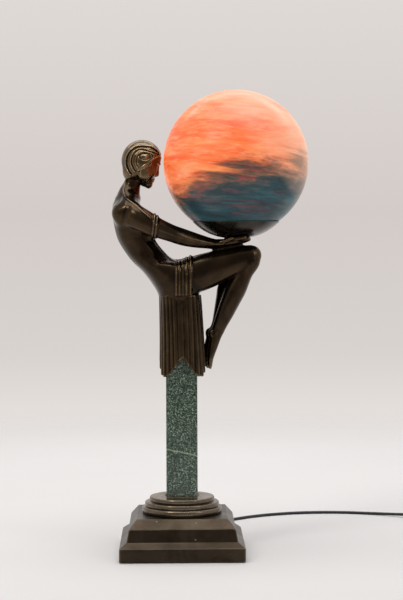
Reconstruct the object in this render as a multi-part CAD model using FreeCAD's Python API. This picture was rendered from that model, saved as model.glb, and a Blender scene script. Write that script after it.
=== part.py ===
import FreeCAD, Part
import math
import os

V = FreeCAD.Vector

# ---------------------------------------------------------------- driving dimensions (mm)
# Frame: +Z up, origin under the middle of the base on the surface that the lamp stands on.
# The seated figure faces +X, and -Y is the side that the viewer sees.

# Running and seating clearances
SEAT_GAP = 0.3              # between curved faces that only rest on each other
THREAD_GAP = 0.05           # radial, between a thread and its tapped hole
HOLE_GAP = 0.3              # radial, between a bolt and its plain hole
BEYOND = 400.0              # reach of a cutting block, past every solid

# Base casting
PLINTH_SIDE = 170.0
PLINTH_TOP = 18.0           # height of the plinth's upright face above the table
LEDGE_INSET = 10.0          # sloping top of the plinth
LEDGE_RISE = 7.0
BAND_INSET = 3.0            # the block leans in a little
BAND_RISE = 16.5
SLOPE_INSET = 11.0
SLOPE_RISE = 14.0
BASE_WALL = 6.0
BASE_CLEAR = 1.0            # the casting's rim stands this far above the table
FELT_THICKNESS = 1.5
FELT_MARGIN = 1.0           # from the cover plate's edge to the felt's
FELT_CORNER = 4.0
COVER_MARGIN = 6.0          # from the plinth's face to the cover plate's edge
COVER_LEDGE = 3.0           # the casting's ledge that the cover plate bears on
COVER_BOSS_RADIUS = 6.0
COVER_BOSS_INSET = 24.0     # from the plinth's face to the screw's axis
COVER_SCREW_RADIUS = 2.0
COVER_SCREW_LENGTH = 9.0
COVER_SCREW_HEAD_RADIUS = 3.6
COVER_SCREW_HEAD = 1.2
COVER_UNDER_HEAD = 0.3      # metal of the cover plate past the countersink
COVER_SCREW_GAP = 0.2       # radial, in the cover plate
SCREW_HOLE_SPARE = 1.0      # depth of a tapped hole past the screw's end

# Turned disc of three rings
DISC_RINGS = [(55.3, 4.4), (51.5, 3.2), (45.0, 3.5)]    # radius and half height, bottom up
DISC_STEP = 0.1             # upright between two rings
DISC_ROUND = 0.55           # how deep each ring's rounding is, in half heights
DISC_STEP_INSET = 0.8       # the upright stands this far inside the ring above it

# Marble column and the threaded tube through it
COLUMN_SIDE = 43.0
COLUMN_HEIGHT = 232.1
COLUMN_EDGE = 0.8
COLUMN_BORE_GAP = 1.0       # radial, round the threaded tube
PAD_THICKNESS = 1.0
PAD_INSET = 1.0
ROD_RADIUS = 5.0
ROD_WALL = 1.5
ROD_ENGAGEMENT = 16.0       # thread inside the figure's seat
NUT_ACROSS_FLATS = 17.0
NUT_THICKNESS = 5.0
WASHER_RADIUS = 12.0
WASHER_THICKNESS = 2.0
ROD_END_BELOW_NUT = 2.0

# Skirt under the figure, which goes down over the column
SKIRT_TOP_RISE = 44.0       # above the column's top
SKIRT_HEM_DROP = 65.5       # below the column's top
SKIRT_BACK_WALL = 9.5       # from the column's faces to the outside of the pleats
SKIRT_FRONT_WALL_TOP = 5.0
SKIRT_FRONT_WALL_HEM = 11.5
SKIRT_SIDE_WALL_TOP = 11.5
SKIRT_SIDE_WALL_HEM = 13.0
SKIRT_FRONT_HOLLOW = 0.6    # the front's line curves in by this much at half height
SKIRT_PLEATS = 26
SKIRT_PLEAT_DEPTH = 0.9     # at the top; the pleats deepen towards the hem
SKIRT_PLEAT_GROWTH = 0.7
SKIRT_CORNER_POWER = 3.2    # how square the skirt is in plan, 2 is an ellipse
SKIRT_ARCH_HEIGHT = 28.0
SKIRT_ARCH_HALF_WIDTH = 19.5
SKIRT_ARCH_ROUND = 4.5      # rise of each side of the arch above its chord
SKIRT_POCKET_GAP = 0.35
FAR_CALF_BACK = 8.0         # the far calf is drawn back this much more than the near one
FIGURE_WALL = 5.0           # of the hollow castings
THIGH_CORE_FROM = 24.0      # ends of the hollow in a thigh, along X
THIGH_CORE_TO = 86.0

# Head
BROW_X = -24.0              # foremost point of the head, which the globe just clears
SKULL_X = -53.5
SKULL_RISE = 230.0          # the skull's middle above the column's top
SKULL_HALF_LENGTH = 28.3
SKULL_HALF_HEIGHT = 28.8
SKULL_HALF_WIDTH = 24.0
SKULL_SLICES = 9

# Globe, bowl and hands
GLOBE_RADIUS = 100.0
GLOBE_WALL = 3.0
GLOBE_MOUTH_RADIUS = 42.0
GLOBE_BOWL_GAP = 0.4        # between the globe and the bowl's rim
BOWL_RISE = 123.0           # underside of the bowl above the column's top
BOWL_WALL = 2.4
BOWL_RIM_RISE = 22.8        # rim above the underside
BOWL_RIM_WALL = 1.5
BOWL_SEAT_RISE = 12.0       # seat of the globe above the underside
BOWL_SEAT_MARGIN = 2.0      # seat past the globe's mouth
BOWL_FLAT_RADIUS = 13.0
BOWL_FOOT_WIDTH = 10.0      # gentle cone round the flat
BOWL_FOOT_RISE = 1.6
BOWL_BULGE = 3.1            # of the bowl's side past a straight cone
GASKET_WIDTH = 5.0
GASKET_THICKNESS = 1.2
GASKET_INSET = 1.2          # from the globe's inner edge
NIPPLE_RADIUS = 5.0
NIPPLE_WALL = 1.8
NIPPLE_NUT_FLATS = 14.0
NIPPLE_NUT_THICKNESS = 3.0
PALM_WEB = 3.4              # metal of the palms between the bowl and the lower washer
PALM_WASHER_MARGIN = 0.4    # washer past the nut's corners
PALM_WASHER_THICKNESS = 1.0

# Lamp holder and bulb, of the 27 mm screw size
HOLDER_THREAD_RADIUS = 13.8
HOLDER_THREAD_WALL = 0.5
HOLDER_THREAD_HEIGHT = 22.0
HOLDER_THREAD_GAP = 0.2     # between the threaded sleeve and the shell's collar
HOLDER_AIR = 2.1            # from the threaded sleeve to the shell
HOLDER_WALL = 1.6
HOLDER_CAP_HEIGHT = 15.0
HOLDER_FOOT = 6.0           # thickness of the cap's threaded foot, and its chamfer
HOLDER_FOOT_INNER = 5.0     # inner cone of the foot
HOLDER_SHELL_HEIGHT = 36.0
HOLDER_CORE_HEIGHT = 10.0
HOLDER_CORE_GAP = 0.2
HOLDER_CORE_SEAT = 1.0      # height of the ledge that the core stands on
HOLDER_CORE_LEDGE = 2.0     # its width
CONTACT_LENGTH = 12.0
CONTACT_WIDTH = 6.0
CONTACT_THICKNESS = 0.6
TERMINAL_INSET = 6.0        # from the core's edge to the terminal screws
TERMINAL_SCREW_RADIUS = 1.0
TERMINAL_SCREW_LENGTH = 5.0
TERMINAL_HEAD_RADIUS = 1.5
TERMINAL_HEAD = 3.0
TERMINAL_HOLE_RADIUS = 1.55
TERMINAL_WIRE_ROOM = 0.6    # under each screw's head
WIRE_HOLE_RADIUS = 1.6
WIRE_HOLE_OFFSET = 9.0
BULB_THREAD_GAP = 0.6       # radial, between the mean sizes of the two threads
BULB_SEAT_GAP = 0.4         # between the bulb's button and the contact
BULB_CAP_HEIGHT = 22.0
BULB_CAP_WALL = 0.5
BULB_CAP_FOOT = 3.0
BULB_BUTTON_RADIUS = 4.0
BULB_BUTTON_HEIGHT = 2.0
BULB_BUTTON_RIM = 1.0
BULB_RADIUS = 30.0
BULB_LENGTH = 78.0          # glass above its cap
BULB_GLASS_WALL = 0.8
BULB_GLASS_IN_CAP = 6.0
BULB_NECK_GAP = 0.2
BULB_NECK_HEIGHT = 8.0
BULB_TANGENT = 32.7         # degrees below level where the round part meets the cone
FILAMENT_STEM_RADIUS = 3.0
FILAMENT_HUB_RADIUS = 10.5
FILAMENT_HUB_THICKNESS = 1.0
FILAMENT_HUB_DROP = 19.0    # hub below the middle of the round part
FILAMENT_OFFSET = 9.0
FILAMENT_SIDE = 1.6
FILAMENT_LENGTH = 32.0
FILAMENTS = 4

# Flex and what is on it
CORD_RADIUS = 2.25
CORE_RADIUS = 1.7           # the bare cores inside the figure
CORE_CHANNEL_GAP = 0.4
BUSHING_X = 28.0
BUSHING_HOLE_RADIUS = 5.4
BUSHING_HOLE_GAP = 0.1
BUSHING_FLANGE_RADIUS = 7.5
BUSHING_FLANGE = 2.0
BUSHING_FLANGE_CHAMFER = 1.5
BUSHING_INNER_FLANGE_RADIUS = 6.6
BUSHING_INNER_FLANGE = 3.0
BUSHING_COVER_GAP = 0.4     # from the inner flange down to the cover plate
BUSHING_TAIL = 22.0
BUSHING_TAIL_WALL = 1.0
BUSHING_CORD_GAP = 0.1
SWITCH_LENGTH = 60.0
SWITCH_WIDTH = 25.0
SWITCH_HEIGHT = 18.0
SWITCH_WALL = 2.0
SWITCH_CORNER = 8.0
SWITCH_EDGE = 2.5
SWITCH_SPLIT_Z = 8.0
SWITCH_ENTRY_Z = 6.5        # height of the cord's axis where it enters the switch
SWITCH_CORD_GAP = 0.15
SWITCH_CENTRE = (400.0, 240.0)
SWITCH_TURN = -20.0         # degrees about Z
ROCKER_LENGTH = 16.0
ROCKER_WIDTH = 9.0
ROCKER_RADIUS = 11.0
ROCKER_DROP = 4.0           # centre of the rocker's rounding below its pivot
ROCKER_BELOW = 2.6          # flat underside below the pivot
ROCKER_PROUD = 2.4          # ends above the cover
ROCKER_END_INSET = 0.6
ROCKER_DISH_RADIUS = 9.0
ROCKER_DISH_RISE = 0.6      # lowest point of the dished top above the cover
ROCKER_GAP = 0.5
ROCKER_PIVOT_DEPTH = 4.5    # pivot below the cover's top
ROCKER_AXLE_RADIUS = 1.5
ROCKER_EAR = 2.0            # thickness of the cover's two ears
ROCKER_EAR_HALF = 3.5
ROCKER_TILT = 9.0           # degrees each side of level, it rests on
PLATE_OFFSET = 16.0         # the switch's two contact plates, from its middle
PLATE_SIDE = 8.0
PLATE_THICKNESS = 1.2
SWITCH_POST_RADIUS = 2.7
SWITCH_POST_END = 9.0       # from the switch's end to the screw's axis
SWITCH_POST_SIDE = 5.5
SWITCH_SCREW_RADIUS = 1.1
SWITCH_SCREW_HEAD_RADIUS = 2.6
SWITCH_SCREW_HEAD = 1.0
SWITCH_SCREW_SUNK = 0.2     # head above the table
SWITCH_SCREW_COVER = 5.0    # from the screw's end to the cover's top
COIL_CENTRE = (422.0, 172.0)
COIL_INNER_RADIUS = 18.5
COIL_HALF_TURNS = 7         # on each layer
COIL_PITCH = 5.0            # from turn to turn
COIL_CLIMB_TUCK = 1.2       # the climb to the upper layer keeps this far inside
COIL_LAYER_STEP = 5.0
COIL_TO_PLUG = 44.0         # from the last turn to the plug's relief
TIE_THICKNESS = 0.8
TIE_WIDTH = 8.0
TIE_GAP = 0.3
TIE_CORNER = 1.5
PLUG_WIDTH = 32.0
PLUG_HEIGHT = 14.0
PLUG_LENGTH = 36.0
PLUG_TAPER = 1.0            # the face is this much narrower each side
PLUG_SHOULDER = 14.0        # length of the part that widens from the relief
PLUG_BACK_WIDTH = 14.0
PLUG_BACK_HEIGHT = 11.0
PLUG_RELIEF = 20.0
PLUG_RELIEF_WALL = 1.0      # at its thin end
PLUG_RELIEF_GROWTH = 1.6
PIN_RADIUS = 2.0
PIN_LENGTH = 19.0
PIN_ROOT = 8.0              # inside the plug
PIN_SPACING = 18.6

# ---------------------------------------------------------------- places that follow from them
COVER_THICKNESS = COVER_SCREW_HEAD + COVER_UNDER_HEAD
COVER_TOP = FELT_THICKNESS + COVER_THICKNESS
COVER_SIDE = PLINTH_SIDE - 2 * COVER_MARGIN
RECESS_SIDE = COVER_SIDE + 2 * SEAT_GAP
CAVITY_SIDE = RECESS_SIDE - 2 * COVER_LEDGE
DISC_Z = PLINTH_TOP + LEDGE_RISE + BAND_RISE + SLOPE_RISE
DISC_HEIGHT = sum(2 * half for radius, half in DISC_RINGS) + DISC_STEP * (len(DISC_RINGS) - 1)
COLUMN_Z = DISC_Z + DISC_HEIGHT + PAD_THICKNESS
COLUMN_TOP = COLUMN_Z + COLUMN_HEIGHT + PAD_THICKNESS
COLUMN_BORE_RADIUS = ROD_RADIUS + COLUMN_BORE_GAP
SKIRT_TOP = COLUMN_TOP + SKIRT_TOP_RISE
SKIRT_HEM = COLUMN_TOP - SKIRT_HEM_DROP
SKIRT_BACK_X = -COLUMN_SIDE / 2 - SKIRT_BACK_WALL

MOUTH_DEPTH = math.sqrt(GLOBE_RADIUS ** 2 - GLOBE_MOUTH_RADIUS ** 2)
MOUTH_INNER_RADIUS = math.sqrt((GLOBE_RADIUS - GLOBE_WALL) ** 2 - MOUTH_DEPTH ** 2)
GLOBE_X = BROW_X + GLOBE_RADIUS
BOWL_FLOOR_Z = COLUMN_TOP + BOWL_RISE
BOWL_SEAT_Z = BOWL_FLOOR_Z + BOWL_SEAT_RISE
MOUTH_Z = BOWL_SEAT_Z + GASKET_THICKNESS
GLOBE_Z = MOUTH_Z + MOUTH_DEPTH
BOWL_RIM_Z = BOWL_FLOOR_Z + BOWL_RIM_RISE
BOWL_SEAT_INNER = MOUTH_INNER_RADIUS + GASKET_INSET
PALM_WASHER_RADIUS = NIPPLE_NUT_FLATS / math.sqrt(3) + PALM_WASHER_MARGIN
PALM_WASHER_Z = BOWL_FLOOR_Z - PALM_WEB - PALM_WASHER_THICKNESS
PALM_NUT_Z = PALM_WASHER_Z - NIPPLE_NUT_THICKNESS

HOLDER_RADIUS = HOLDER_THREAD_RADIUS + HOLDER_THREAD_WALL + HOLDER_AIR + HOLDER_WALL
HOLDER_Z = BOWL_FLOOR_Z + BOWL_WALL + NIPPLE_NUT_THICKNESS
SHELL_Z = HOLDER_Z + HOLDER_CAP_HEIGHT
CORE_Z = SHELL_Z + HOLDER_CORE_SEAT
THREAD_Z = CORE_Z + HOLDER_CORE_HEIGHT
BULB_CAP_RADIUS = HOLDER_THREAD_RADIUS - BULB_THREAD_GAP
BULB_BUTTON_Z = THREAD_Z + CONTACT_THICKNESS + BULB_SEAT_GAP
BULB_CAP_Z = BULB_BUTTON_Z + BULB_BUTTON_HEIGHT
BULB_GLASS_Z = BULB_CAP_Z + BULB_CAP_HEIGHT

CORD_Z = CORD_RADIUS
BUSHING_Z = COVER_TOP + BUSHING_INNER_FLANGE_RADIUS + BUSHING_COVER_GAP
BUSHING_END_Y = PLINTH_SIDE / 2 + BUSHING_TAIL
COIL_Z = CORD_RADIUS + TIE_THICKNESS + TIE_GAP
COIL_OUTER_RADIUS = COIL_INNER_RADIUS + COIL_HALF_TURNS * COIL_PITCH / 2
PLUG_CABLE_Z = PLUG_HEIGHT / 2
ROCKER_PIVOT_Z = SWITCH_HEIGHT - ROCKER_PIVOT_DEPTH

# Route of the cord on the table, from the tail of the bushing to the switch
CORD_LEAD_POINTS = [
    (BUSHING_X, BUSHING_END_Y, BUSHING_Z),
    (BUSHING_X, BUSHING_END_Y + 24.0, BUSHING_Z),
    (31.0, 161.0, 4.5),
    (44.0, 199.0, CORD_Z),
    (78.0, 242.0, CORD_Z),
    (128.0, 279.0, CORD_Z),
    (188.0, 300.0, CORD_Z),
    (252.0, 301.0, CORD_Z),
    (308.0, 285.0, CORD_Z),
]

# Centre line of the cores inside the lamp, from the bushing through the base, and on through
# the figure to the lamp holder
CORE_BASE_POINTS = [
    (BUSHING_X, CAVITY_SIDE / 2 - 6.0, BUSHING_Z),
    (25.0, 52.0, 12.5),
    (10.0, 22.0, 18.0),
]
CORE_FIGURE_POINTS = [
    (0.0, 0.0, 30.0),
    (0.0, 0.0, COLUMN_TOP + 18.0),
    (-14.0, 4.0, COLUMN_TOP + 54.0),
    (-52.0, 14.0, COLUMN_TOP + 92.0),
    (-76.0, 27.0, COLUMN_TOP + 132.0),
    (-60.0, 41.0, COLUMN_TOP + 153.0),
    (-30.0, 43.5, COLUMN_TOP + 138.0),
    (-2.0, 39.0, COLUMN_TOP + 125.5),
    (28.0, 27.0, COLUMN_TOP + 118.0),
    (GLOBE_X - 19.0, 13.0, BOWL_FLOOR_Z - 8.0),
    (GLOBE_X - 7.0, 4.5, BOWL_FLOOR_Z - 13.5),
    (GLOBE_X, 0.0, BOWL_FLOOR_Z - 11.8),
    (GLOBE_X, 0.0, BOWL_FLOOR_Z - 3.0),
    (GLOBE_X, 0.5, HOLDER_Z + HOLDER_FOOT),
]


# ---------------------------------------------------------------- helpers
def box(x0, y0, z0, x1, y1, z1):
    return Part.makeBox(x1 - x0, y1 - y0, z1 - z0, V(x0, y0, z0))


def cylinder(radius, z0, z1, x=0.0, y=0.0):
    return Part.makeCylinder(radius, z1 - z0, V(x, y, z0))


def cylinder_along(radius, start, direction, length):
    return Part.makeCylinder(radius, length, V(*start), V(*direction))


def tube(outer, inner, z0, z1, x=0.0, y=0.0):
    return cylinder(outer, z0, z1, x, y).cut(cylinder(inner, z0 - 1, z1 + 1, x, y))


def hexagon(flats, z0, z1, bore, x=0.0, y=0.0):
    corner = flats / math.sqrt(3)
    angles = [math.radians(60 * k) for k in range(7)]
    points = [V(x + corner * math.cos(a), y + corner * math.sin(a), z0) for a in angles]
    prism = Part.Face(Part.makePolygon(points)).extrude(V(0, 0, z1 - z0))
    return prism.cut(cylinder(bore, z0 - 1, z1 + 1, x, y))


def square_wire(side, z):
    h = side / 2
    return Part.makePolygon([V(-h, -h, z), V(h, -h, z), V(h, h, z), V(-h, h, z), V(-h, -h, z)])


def tiers(levels):
    """Straight-sided square tiers through (side, height) levels, bottom up."""
    return Part.makeLoft([square_wire(side, z) for side, z in levels], True, True)


def turned(profile, x=0.0, y=0.0):
    """Solid of revolution about the vertical through (x, y); profile is a closed list of (radius, height)."""
    wire = Part.makePolygon([V(x + r, y, z) for r, z in profile + profile[:1]])
    return Part.Face(wire).revolve(V(x, y, 0), V(0, 0, 1), 360)


def turned_edges(edges, x=0.0, y=0.0):
    """As turned, from edges drawn with X as the radius and Z as the height."""
    wire = Part.Wire(Part.__sortEdges__(edges))
    shape = Part.Face(wire).revolve(V(0, 0, 0), V(0, 0, 1), 360)
    shape.translate(V(x, y, 0))
    return shape


def line(a, b):
    return Part.LineSegment(V(a[0], 0, a[1]), V(b[0], 0, b[1])).toShape()


def arc(a, m, b):
    return Part.Arc(V(a[0], 0, a[1]), V(m[0], 0, m[1]), V(b[0], 0, b[1])).toShape()


def ring(centre, facing, half_front, half_side, points=12):
    """Closed smooth outline about centre.

    half_front runs along facing, which is (x, z); half_side runs along Y.
    """
    length = math.hypot(*facing)
    ux, uz = facing[0] / length, facing[1] / length
    pull = (4 + 2 * math.cos(2 * math.pi / points)) / 6
    poles = []
    for k in range(points):
        angle = 2 * math.pi * k / points
        front = half_front / pull * math.cos(angle)
        side = half_side / pull * math.sin(angle)
        poles.append(V(centre[0] + ux * front, centre[1] + side, centre[2] + uz * front))
    curve = Part.BSplineCurve()
    curve.buildFromPolesMultsKnots(poles, [1] * (points + 1), list(range(points + 1)), True, 3)
    return Part.Wire([curve.toShape()])


def limb(sections):
    """Rounded solid through sections (x, y, z, facing x, facing z, half front, half side).

    The heights of this one and the next are above the column's top.
    """
    rings = []
    for x, y, z, facing_x, facing_z, half_front, half_side in sections:
        rings.append(ring((x, y, COLUMN_TOP + z), (facing_x, facing_z), half_front, half_side))
    return Part.makeLoft(rings, True, False)


def body_of(sections, inset=0.0):
    """Rounded solid through sections (back x, back z, front x, front z, half side), all at y = 0."""
    rings = []
    for bx, bz, fx, fz, side in sections:
        centre = ((bx + fx) / 2, 0, COLUMN_TOP + (bz + fz) / 2)
        half = math.hypot(fx - bx, fz - bz) / 2
        rings.append(ring(centre, (fx - bx, fz - bz), half - inset, side - inset))
    return Part.makeLoft(rings, True, False)


def mirrored(shape):
    return shape.mirror(V(0, 0, 0), V(0, 1, 0))


def cord_path(points, name):
    """Straight runs joined by arcs as large as the runs beside them allow."""
    pts = [V(*p) for p in points]
    edges = []
    radii = []
    at = pts[0]
    for k in range(1, len(pts) - 1):
        before = pts[k] - pts[k - 1]
        after = pts[k + 1] - pts[k]
        turn = before.getAngle(after)
        reach = 0.45 * min(before.Length, after.Length)
        radii.append(reach / math.tan(turn / 2))
        into = V(before).normalize()
        out = V(after).normalize()
        start = pts[k] - into * reach
        end = pts[k] + out * reach
        chord_middle = (start + end) * 0.5
        towards = pts[k] - chord_middle
        centre_distance = radii[-1] / math.cos(turn / 2)
        inward = V(towards).normalize()
        middle = pts[k] - inward * (centre_distance - radii[-1])
        edges.append(Part.LineSegment(at, start).toShape())
        edges.append(Part.Arc(start, middle, end).toShape())
        at = end
    edges.append(Part.LineSegment(at, pts[-1]).toShape())
    print(name, "length %.0f" % sum(e.Length for e in edges), "radii", ["%.0f" % r for r in radii])
    return Part.Wire(edges)


def sweep(path, radius, name):
    first = path.Edges[0]
    start = first.valueAt(first.FirstParameter)
    direction = first.tangentAt(first.FirstParameter)
    profile = Part.Wire([Part.makeCircle(radius, start, direction)])
    solid = path.makePipeShell([profile], True, False)
    expected = math.pi * radius ** 2 * path.Length
    print(name, "volume / section x length = %.4f" % (solid.Volume / expected), "valid", solid.isValid())
    return solid


def biarc(p0, t0, p1, t1):
    """Two arcs from p0 to p1 that leave along t0 and arrive along t1."""
    v = p1 - p0
    t = t0 + t1
    a = 2 * (1 - t0.dot(t1))
    b = 2 * v.dot(t)
    c = -v.dot(v)
    reach = (-b + math.sqrt(b * b - 4 * a * c)) / (2 * a) if a > 1e-9 else -c / b
    q0 = p0 + t0 * reach
    q1 = p1 - t1 * reach
    joint = (q0 + q1) * 0.5

    def one(start, corner, end):
        chord_middle = (start + end) * 0.5
        half = (end - start).Length / 2
        rise = corner - chord_middle
        radius = reach * half / rise.Length
        sagitta = radius - math.sqrt(max(radius ** 2 - half ** 2, 0))
        return Part.Arc(start, chord_middle + V(rise).normalize() * sagitta, end).toShape()

    return [one(p0, q0, joint), one(joint, q1, p1)]


def turned_in_place(shape, centre, angle):
    """Turn a shape that was drawn about the origin, then put it at centre on the table."""
    shape.rotate(V(0, 0, 0), V(0, 0, 1), angle)
    shape.translate(V(centre[0], centre[1], 0))
    return shape


def rounded_box(length, width, z0, z1, radius):
    block = box(-length / 2, -width / 2, z0, length / 2, width / 2, z1)
    upright = [e for e in block.Edges if abs(e.tangentAt(e.FirstParameter).z) > 0.9]
    return block.makeFillet(radius, upright)


def group(solids):
    return Part.makeCompound(solids)


# ---------------------------------------------------------------- base
def base_levels(inset, lift=0.0):
    block_foot = PLINTH_SIDE - 2 * LEDGE_INSET
    block_top = block_foot - 2 * BAND_INSET
    z1 = PLINTH_TOP
    z2 = z1 + LEDGE_RISE
    z3 = z2 + BAND_RISE
    z4 = z3 + SLOPE_RISE
    sides = [(PLINTH_SIDE, BASE_CLEAR), (PLINTH_SIDE, z1), (block_foot, z2), (block_top, z3),
             (block_top - 2 * SLOPE_INSET, z4)]
    return [(side - 2 * inset, z - (lift if k else 0)) for k, (side, z) in enumerate(sides)]


def screw_places():
    reach = PLINTH_SIDE / 2 - COVER_BOSS_INSET
    return [(sx * reach, sy * reach) for sx in (-1, 1) for sy in (-1, 1)]


def make_base():
    outer = tiers(base_levels(0.0))
    hollow = tiers(base_levels(BASE_WALL, BASE_WALL))
    half = RECESS_SIDE / 2
    recess = box(-half, -half, 0, half, half, COVER_TOP)
    keep = tiers([(CAVITY_SIDE, COVER_TOP), (CAVITY_SIDE, DISC_Z)])
    casting = outer.cut(hollow.common(keep)).cut(recess)
    bosses = []
    for x, y in screw_places():
        boss = cylinder(COVER_BOSS_RADIUS, COVER_TOP, DISC_Z, x, y).common(outer)
        bosses.append(boss)
    casting = casting.fuse(bosses).removeSplitter()
    for x, y in screw_places():
        depth = FELT_THICKNESS + COVER_SCREW_LENGTH + SCREW_HOLE_SPARE
        casting = casting.cut(cylinder(COVER_SCREW_RADIUS + THREAD_GAP, 0, depth, x, y))
    casting = casting.cut(cylinder(ROD_RADIUS + HOLE_GAP, 0, DISC_Z + 1))
    hole_axis = ((BUSHING_X, 0, BUSHING_Z), (0, 1, 0))
    casting = casting.cut(cylinder_along(BUSHING_HOLE_RADIUS, *hole_axis, PLINTH_SIDE))
    casting = casting.cut(cylinder_along(BUSHING_INNER_FLANGE_RADIUS + SEAT_GAP, *hole_axis, CAVITY_SIDE / 2))

    half = COVER_SIDE / 2
    cover = box(-half, -half, FELT_THICKNESS, half, half, COVER_TOP)
    felt_side = COVER_SIDE - 2 * FELT_MARGIN
    felt = rounded_box(felt_side, felt_side, 0, FELT_THICKNESS, FELT_CORNER)
    screws = []
    under_head = FELT_THICKNESS + COVER_SCREW_HEAD
    tip = FELT_THICKNESS + COVER_SCREW_LENGTH
    hole_radius = COVER_SCREW_RADIUS + COVER_SCREW_GAP
    sink_radius = COVER_SCREW_HEAD_RADIUS + COVER_SCREW_GAP / 2
    for x, y in screw_places():
        cover = cover.cut(turned([(0, FELT_THICKNESS), (sink_radius, FELT_THICKNESS),
                                  (hole_radius, under_head), (hole_radius, COVER_TOP + 1),
                                  (0, COVER_TOP + 1)], x, y))
        screws.append(turned([(0, FELT_THICKNESS), (COVER_SCREW_HEAD_RADIUS, FELT_THICKNESS),
                              (COVER_SCREW_RADIUS, under_head), (COVER_SCREW_RADIUS, tip), (0, tip)], x, y))
    return {"base_casting": casting, "base_cover": cover, "base_felt": felt, "cover_screws": group(screws)}


def make_disc():
    """Three half-round rings, each with a small step up to the next."""
    edges = []
    z = DISC_Z
    at = (ROD_RADIUS + HOLE_GAP, z)
    for k, (radius, half) in enumerate(DISC_RINGS):
        foot = (radius - DISC_ROUND * half, z)
        head = (radius - DISC_ROUND * half, z + 2 * half)
        if at != foot:
            edges.append(line(at, foot))
        edges.append(arc(foot, (radius, z + half), head))
        at = head
        z += 2 * half
        if k < len(DISC_RINGS) - 1:
            next_radius, next_half = DISC_RINGS[k + 1]
            inner = next_radius - DISC_ROUND * next_half - DISC_STEP_INSET
            edges.append(line(at, (inner, z)))
            at = (inner, z)
            edges.append(line(at, (inner, z + DISC_STEP)))
            at = (inner, z + DISC_STEP)
            z += DISC_STEP
    edges.append(line(at, (ROD_RADIUS + HOLE_GAP, z)))
    edges.append(line((ROD_RADIUS + HOLE_GAP, z), (ROD_RADIUS + HOLE_GAP, DISC_Z)))
    return {"stepped_disc": turned_edges(edges)}


def make_column():
    half = COLUMN_SIDE / 2
    shaft = box(-half, -half, COLUMN_Z, half, half, COLUMN_TOP - PAD_THICKNESS)
    upright = [e for e in shaft.Edges if abs(e.tangentAt(e.FirstParameter).z) > 0.9]
    shaft = shaft.makeChamfer(COLUMN_EDGE, upright)
    shaft = shaft.cut(cylinder(COLUMN_BORE_RADIUS, COLUMN_Z - 1, COLUMN_TOP + 1))
    pads = []
    side = half - PAD_INSET
    for z0 in (COLUMN_Z - PAD_THICKNESS, COLUMN_TOP - PAD_THICKNESS):
        pad = box(-side, -side, z0, side, side, z0 + PAD_THICKNESS)
        pads.append(pad.cut(cylinder(COLUMN_BORE_RADIUS, z0 - 1, z0 + PAD_THICKNESS + 1)))
    ceiling = DISC_Z - BASE_WALL
    washer_z = ceiling - WASHER_THICKNESS
    nut_z = washer_z - NUT_THICKNESS
    rod_bottom = nut_z - ROD_END_BELOW_NUT
    rod = tube(ROD_RADIUS, ROD_RADIUS - ROD_WALL, rod_bottom, COLUMN_TOP + ROD_ENGAGEMENT)
    return {
        "marble_column": shaft,
        "column_pads": group(pads),
        "tie_rod": rod,
        "tie_rod_washer": tube(WASHER_RADIUS, ROD_RADIUS + HOLE_GAP, washer_z, ceiling),
        "tie_rod_nut": hexagon(NUT_ACROSS_FLATS, nut_z, washer_z, ROD_RADIUS + THREAD_GAP),
    }


# ---------------------------------------------------------------- figure
def skirt_ring(z, back, front, half_depth, pleat):
    """Square-cornered outline with upright pleats."""
    per_pleat = 4
    count = SKIRT_PLEATS * per_pleat
    centre = (back + front) / 2
    half = (front - back) / 2
    poles = []
    for k in range(count):
        angle = 2 * math.pi * k / count
        c, s = math.cos(angle), math.sin(angle)
        power = SKIRT_CORNER_POWER
        scale = (abs(c) ** power + abs(s) ** power) ** (-1 / power)
        wave = 1 - pleat / half * (0.5 - 0.5 * math.cos(2 * math.pi * k / per_pleat))
        poles.append(V(centre + half * c * scale * wave, half_depth * s * scale * wave, z))
    curve = Part.BSplineCurve()
    curve.buildFromPolesMultsKnots(poles, [1] * (count + 1), list(range(count + 1)), True, 3)
    return Part.Wire([curve.toShape()])


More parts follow.
